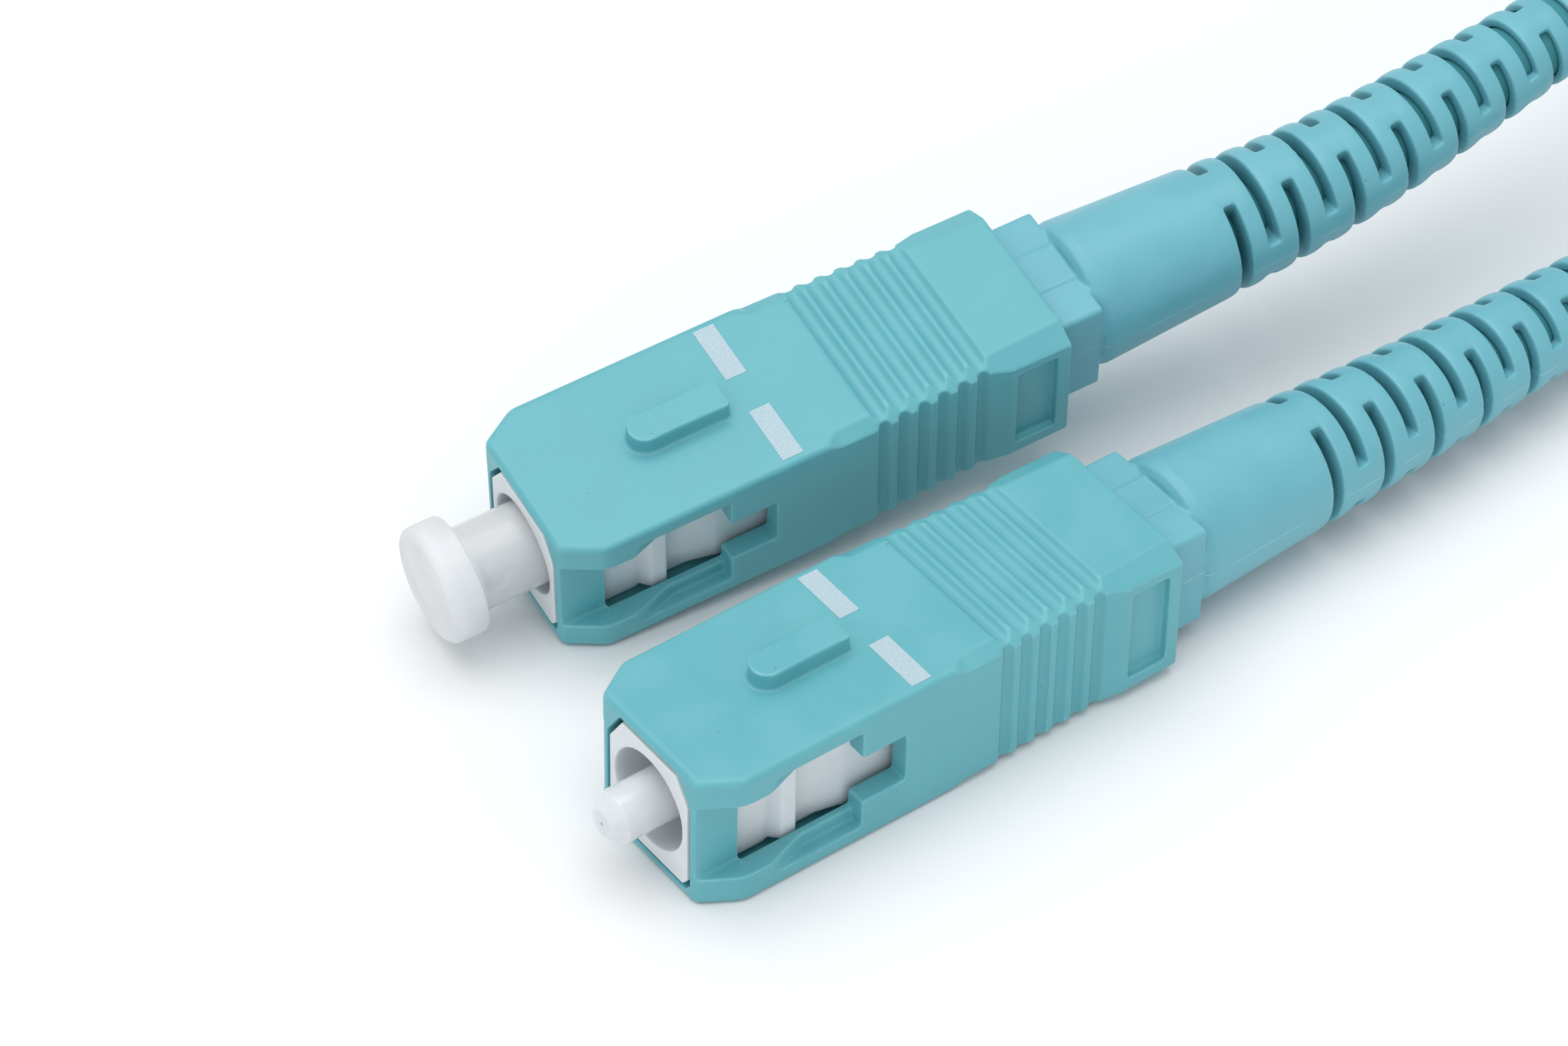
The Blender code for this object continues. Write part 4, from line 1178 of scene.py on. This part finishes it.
def makeJacket(name, look):
    material, tree, shader = newFinish(name)
    place = objectPlace(tree)
    grain = useGroup(tree, mouldGrain, Place=place, Grain=6.0, Drift=0.12)
    specks = useGroup(tree, dustSpecks, Place=place, Cells=0.9, Size=0.06, Empty=0.9)
    colour = mixed(tree, grain["Tone"], *look["tones"])
    colour = mixed(tree, math2(tree, "MULTIPLY", specks["Mask"], 0.6), colour, aqua["speck"])
    tree.links.new(colour, shader.inputs["Base Color"])
    embossed(tree, shader, grain["Height"], 0.4, 0.015)
    tree.links.new(ramped(tree, grain["Tone"], 0.0, 1.0, *look["rough"]), shader.inputs["Roughness"])
    shader.inputs["Specular IOR Level"].default_value = look["gloss"]
    return material


pale = {
    "frame": ((0.67, 0.715, 0.74), (0.73, 0.77, 0.79)),
    "frameSpeck": (0.25, 0.26, 0.27),
    "ceramic": ((0.64, 0.665, 0.69), (0.70, 0.72, 0.74)),
    "fibre": (0.16, 0.17, 0.18),
    "cap": ((0.92, 0.95, 0.975), (0.95, 0.97, 0.985)),
    "capRough": (0.16, 0.4),
    "ink": ((0.34, 0.50, 0.56), (0.50, 0.60, 0.655)),
}


def makeFrameResin():
    material, tree, shader = newFinish("whiteFrameResin")
    place = benchPlace(tree)
    grain = useGroup(tree, mouldGrain, Place=place, Grain=8.0, Drift=0.4)
    specks = useGroup(tree, dustSpecks, Place=place, Cells=1.2, Size=0.05, Empty=0.9)
    wearAndHighlight = useGroup(tree, edgeWearAndHighlight, Place=place, Bulge=edgeBulge(tree), Sharpest=6.0)
    colour = mixed(tree, grain["Tone"], *pale["frame"])
    # paler edges, partly wear and partly a painted highlight
    colour = mixed(tree, math2(tree, "MULTIPLY", wearAndHighlight["Mask"], 0.3), colour, (0.9, 0.92, 0.93))
    colour = mixed(tree, math2(tree, "MULTIPLY", specks["Mask"], 0.6), colour, pale["frameSpeck"])
    tree.links.new(colour, shader.inputs["Base Color"])
    embossed(tree, shader, grain["Height"], 0.3, 0.01)
    tree.links.new(ramped(tree, grain["Tone"], 0.0, 1.0, 0.4, 0.5), shader.inputs["Roughness"])
    softGlow(shader, 0.35, 1.0, (0.95, 1.0, 1.0))
    return material


def makeCeramic():
    # ground white ceramic, with the fibre's end in the middle of the polished tip
    material, tree, shader = newFinish("whiteCeramic")
    place = benchPlace(tree)
    axes = parts(tree, place)
    onTip = math2(tree, "LESS_THAN", axes["X"], -2.3)
    fibre = math2(tree, "MULTIPLY", ramped(tree, fromAxis(tree, axes), 0.075, 0.05), onTip)
    grain = useGroup(tree, mouldGrain, Place=place, Grain=7.0, Drift=0.7)
    specks = useGroup(tree, dustSpecks, Place=place, Cells=1.5, Size=0.06, Empty=0.85)
    colour = mixed(tree, grain["Tone"], *pale["ceramic"])
    colour = mixed(tree, math2(tree, "MULTIPLY", specks["Mask"], 0.5), colour, pale["frameSpeck"])
    colour = mixed(tree, fibre, colour, pale["fibre"])
    tree.links.new(colour, shader.inputs["Base Color"])
    tree.links.new(ramped(tree, grain["Tone"], 0.0, 1.0, 0.14, 0.24), shader.inputs["Roughness"])
    embossed(tree, shader, grain["Height"], 0.08, 0.005)
    softGlow(shader, 0.5, 1.5, (1.0, 0.98, 0.96))
    return material


def makeCapResin():
    # milky resin, frosted on the head and clearer along the tube
    material, tree, shader = newFinish("milkyCapResin")
    place = benchPlace(tree)
    grain = useGroup(tree, mouldGrain, Place=place, Grain=5.0, Drift=0.5)
    specks = useGroup(tree, dustSpecks, Place=place, Cells=1.0, Size=0.07, Empty=0.85)
    colour = mixed(tree, grain["Tone"], *pale["cap"])
    colour = mixed(tree, math2(tree, "MULTIPLY", specks["Mask"], 0.5), colour, pale["frameSpeck"])
    tree.links.new(colour, shader.inputs["Base Color"])
    clear, frosted = pale["capRough"]
    along = math2(tree, "ADD", parts(tree, place)["X"], math2(tree, "MULTIPLY", grain["Tone"], 0.3))
    rough = ramped(tree, along, cap["headEnd"] + 0.5, cap["headEnd"] - 0.1, clear, frosted)
    tree.links.new(rough, shader.inputs["Roughness"])
    embossed(tree, shader, grain["Height"], 0.2, 0.012)
    shader.inputs["Transmission Weight"].default_value = 0.42
    shader.inputs["IOR"].default_value = 1.42
    softGlow(shader, 0.4, 0.7, (1.0, 1.0, 1.0))
    return material


def makeInk():
    # thin white print that lets some of the aqua through its grain
    material, tree, shader = newFinish("whitePrintInk")
    place = benchPlace(tree)
    grain = useGroup(tree, mouldGrain, Place=place, Grain=14.0, Drift=1.2)
    colour = mixed(tree, ramped(tree, grain["Height"], 0.3, 0.7), *pale["ink"])
    tree.links.new(colour, shader.inputs["Base Color"])
    embossed(tree, shader, grain["Height"], 0.5, 0.012)
    tree.links.new(ramped(tree, grain["Tone"], 0.0, 1.0, 0.55, 0.7), shader.inputs["Roughness"])
    return material


metals = {
    "nickel": {
        "tones": ((0.58, 0.55, 0.49), (0.68, 0.65, 0.58)),
        "rough": (0.22, 0.36),
        "stretch": (1.0, 0.15, 0.15),
    },
    "steel": {
        "tones": ((0.44, 0.45, 0.46), (0.58, 0.59, 0.60)),
        "rough": (0.24, 0.40),
        "stretch": (1.0, 1.0, 1.0),
    },
}


def makeMetal(name, look):
    # turned or drawn metal: fine marks round the axis and a few dull patches
    material, tree, shader = newFinish(name)
    grain = useGroup(tree, mouldGrain, Place=objectPlace(tree, look["stretch"]), Grain=3.0, Drift=0.5)
    tree.links.new(mixed(tree, grain["Tone"], *look["tones"]), shader.inputs["Base Color"])
    tree.links.new(ramped(tree, grain["Height"], 0.2, 0.8, *look["rough"]), shader.inputs["Roughness"])
    embossed(tree, shader, grain["Height"], 0.3, 0.01)
    shader.inputs["Metallic"].default_value = 1.0
    return material


def makeBufferCoat():
    material, tree, shader = newFinish("fibreCoat")
    grain = useGroup(tree, mouldGrain, Place=objectPlace(tree), Grain=6.0, Drift=0.4)
    colour = mixed(tree, grain["Tone"], (0.72, 0.8, 0.82), (0.8, 0.86, 0.88))
    tree.links.new(colour, shader.inputs["Base Color"])
    tree.links.new(ramped(tree, grain["Height"], 0.2, 0.8, 0.35, 0.5), shader.inputs["Roughness"])
    embossed(tree, shader, grain["Height"], 0.2, 0.01)
    return material


def makeStrapWeave():
    # black hook and loop tape: woven ribs with a fuzz of short loops
    material, tree, shader = newFinish("blackStrapWeave")
    place = objectPlace(tree)
    ribs = tree.nodes.new("ShaderNodeTexWave")
    ribs.bands_direction = "Y"
    ribs.inputs["Scale"].default_value = 0.55
    ribs.inputs["Distortion"].default_value = 1.2
    tree.links.new(place, ribs.inputs["Vector"])
    grain = useGroup(tree, mouldGrain, Place=place, Grain=5.5, Drift=0.6)
    fuzz = math2(tree, "MULTIPLY", ribs.outputs["Fac"], 0.45)
    height = math2(tree, "ADD", grain["Height"], fuzz)
    colour = mixed(tree, ramped(tree, height, 0.35, 1.0), (0.010, 0.010, 0.011), (0.045, 0.045, 0.048))
    tree.links.new(colour, shader.inputs["Base Color"])
    tree.links.new(ramped(tree, grain["Tone"], 0.0, 1.0, 0.75, 0.92), shader.inputs["Roughness"])
    shader.inputs["Sheen Weight"].default_value = 0.25
    embossed(tree, shader, height, 0.9, 0.12)
    return material


finishes = {
    "shell": makeAquaMoulding("aquaMouldedShell", aqua["shell"], shellSeam),
    "boot": makeAquaMoulding("aquaSoftBoot", aqua["boot"], bootSeam, slotShade),
    "jacket": makeJacket("aquaCableJacket", aqua["jacket"]),
    "shadedJacket": makeJacket("shadedCableJacket", aqua["shadedJacket"]),
    "frame": makeFrameResin(),
    "ceramic": makeCeramic(),
    "cap": makeCapResin(),
    "ink": makeInk(),
    "nickel": makeMetal("nickelPlate", metals["nickel"]),
    "steel": makeMetal("springSteel", metals["steel"]),
    "buffer": makeBufferCoat(),
    "strap": makeStrapWeave(),
}
print("finishes mixed")


def dressConnectors():
    shell, bars, body = modelHousing(), modelMarks(), modelPlug()
    tip, wire, sleeve, inner = modelFerrule(), modelSpring(), modelBoot(), modelCore()
    for end in ends:
        housingBody, ferruleBody = f"housing_{end}", f"floating_ferrule_{end}"
        outer = f"outer_housing_{end}"
        settle(shell, "housingShell", end, housingBody, finishes["shell"], [outer])
        settle(bars, "printedBars", end, housingBody, finishes["ink"])
        settle(body, "latchFrame", end, "cord", finishes["frame"], [f"plug_frame_{end}"])
        settle(tip, "ferruleRod", end, ferruleBody, finishes["ceramic"], [f"ferrule_{end}"])
        coiled = settle(wire, "springWire", end, "cord", finishes["steel"], [f"spring_{end}"])
        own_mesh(coiled)
        settle(sleeve, "bootSleeve", end, "cord", finishes["boot"], [f"boot_{end}"], bentBoot)
        hidden = f"cable_core_{end}"
        # the jacket inside the boot takes the darker copy, which is painted shade
        settle(inner, "jacketInBoot", end, "cord", finishes["shadedJacket"], [hidden], bentBoot)
        for name, finish, slot in (
            ("ferrule_flange", "nickel", "metal"),
            ("stop_ring", "nickel", "metal"),
            ("crimp_ring", "nickel", "metal"),
            ("fibre_buffer", "buffer", "cable"),
        ):
            node = nodes[f"{name}_{end}"]
            node.data.materials.clear()
            node.data.materials.append(finishes[finish])
        print(f"connector {end} dressed")
    clearBench(shell, bars, body, tip, wire, sleeve, inner)


def bentBoot(point, end):
    return bent(Vector(point), end)


dressConnectors()

endCap = modelCap()
settle(endCap, "dustCover", "a", "cap", finishes["cap"], ["dust_cap"])
clearBench(endCap)

hankStrap = modelStrap()
hankStrap.data.materials.append(finishes["strap"])
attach(hankStrap, "cord")
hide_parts("cable_tie")

patchCable.data.materials.append(finishes["jacket"])
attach(patchCable, "cord")
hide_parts("cable_lead_a", "cable_hank", "cable_lead_b")
bootExit("a", 0.0)
print("cable and strap in place")

studio = {
    "floor": 4.0,
    "floorTone": ((0.84, 0.845, 0.85), (0.87, 0.872, 0.875)),
    "sky": ((0.95, 0.97, 1.0), 0.68),
    "lamps": {
        "overhead": ((-0.08, 0.08, 0.8), (0.0, 0.0, 0.0), 0.9, 4.8),
        "fill": ((-0.75, -0.55, 0.45), (0.0, 0.0, 0.0), 0.8, 1.2),
    },
}


def addStudio():
    bpy.ops.object.select_all(action="DESELECT")
    bpy.ops.mesh.primitive_plane_add(size=studio["floor"], location=(0.0, 0.0, 0.0))
    floor = bpy.context.object
    floor.name = "studioFloor"
    material, tree, shader = newFinish("paleFloor")
    tone = noise(tree, objectPlace(tree), 0.02, 3.0)
    tree.links.new(mixed(tree, tone, *studio["floorTone"]), shader.inputs["Base Color"])
    shader.inputs["Roughness"].default_value = 0.8
    floor.data.materials.append(material)
    world = bpy.data.worlds.new("studioSky")
    world.use_nodes = True
    colour, strength = studio["sky"]
    world.node_tree.nodes["Background"].inputs["Color"].default_value = (*colour, 1.0)
    world.node_tree.nodes["Background"].inputs["Strength"].default_value = strength
    scene.world = world
    for name, (place, target, size, power) in studio["lamps"].items():
        bpy.ops.object.light_add(type="AREA", location=place)
        lamp = bpy.context.object
        lamp.name = name
        lamp.data.size = size
        lamp.data.energy = power
        lamp.rotation_euler = (Vector(target) - Vector(place)).to_track_quat("-Z", "Y").to_euler()
    print("studio lit")


addStudio()
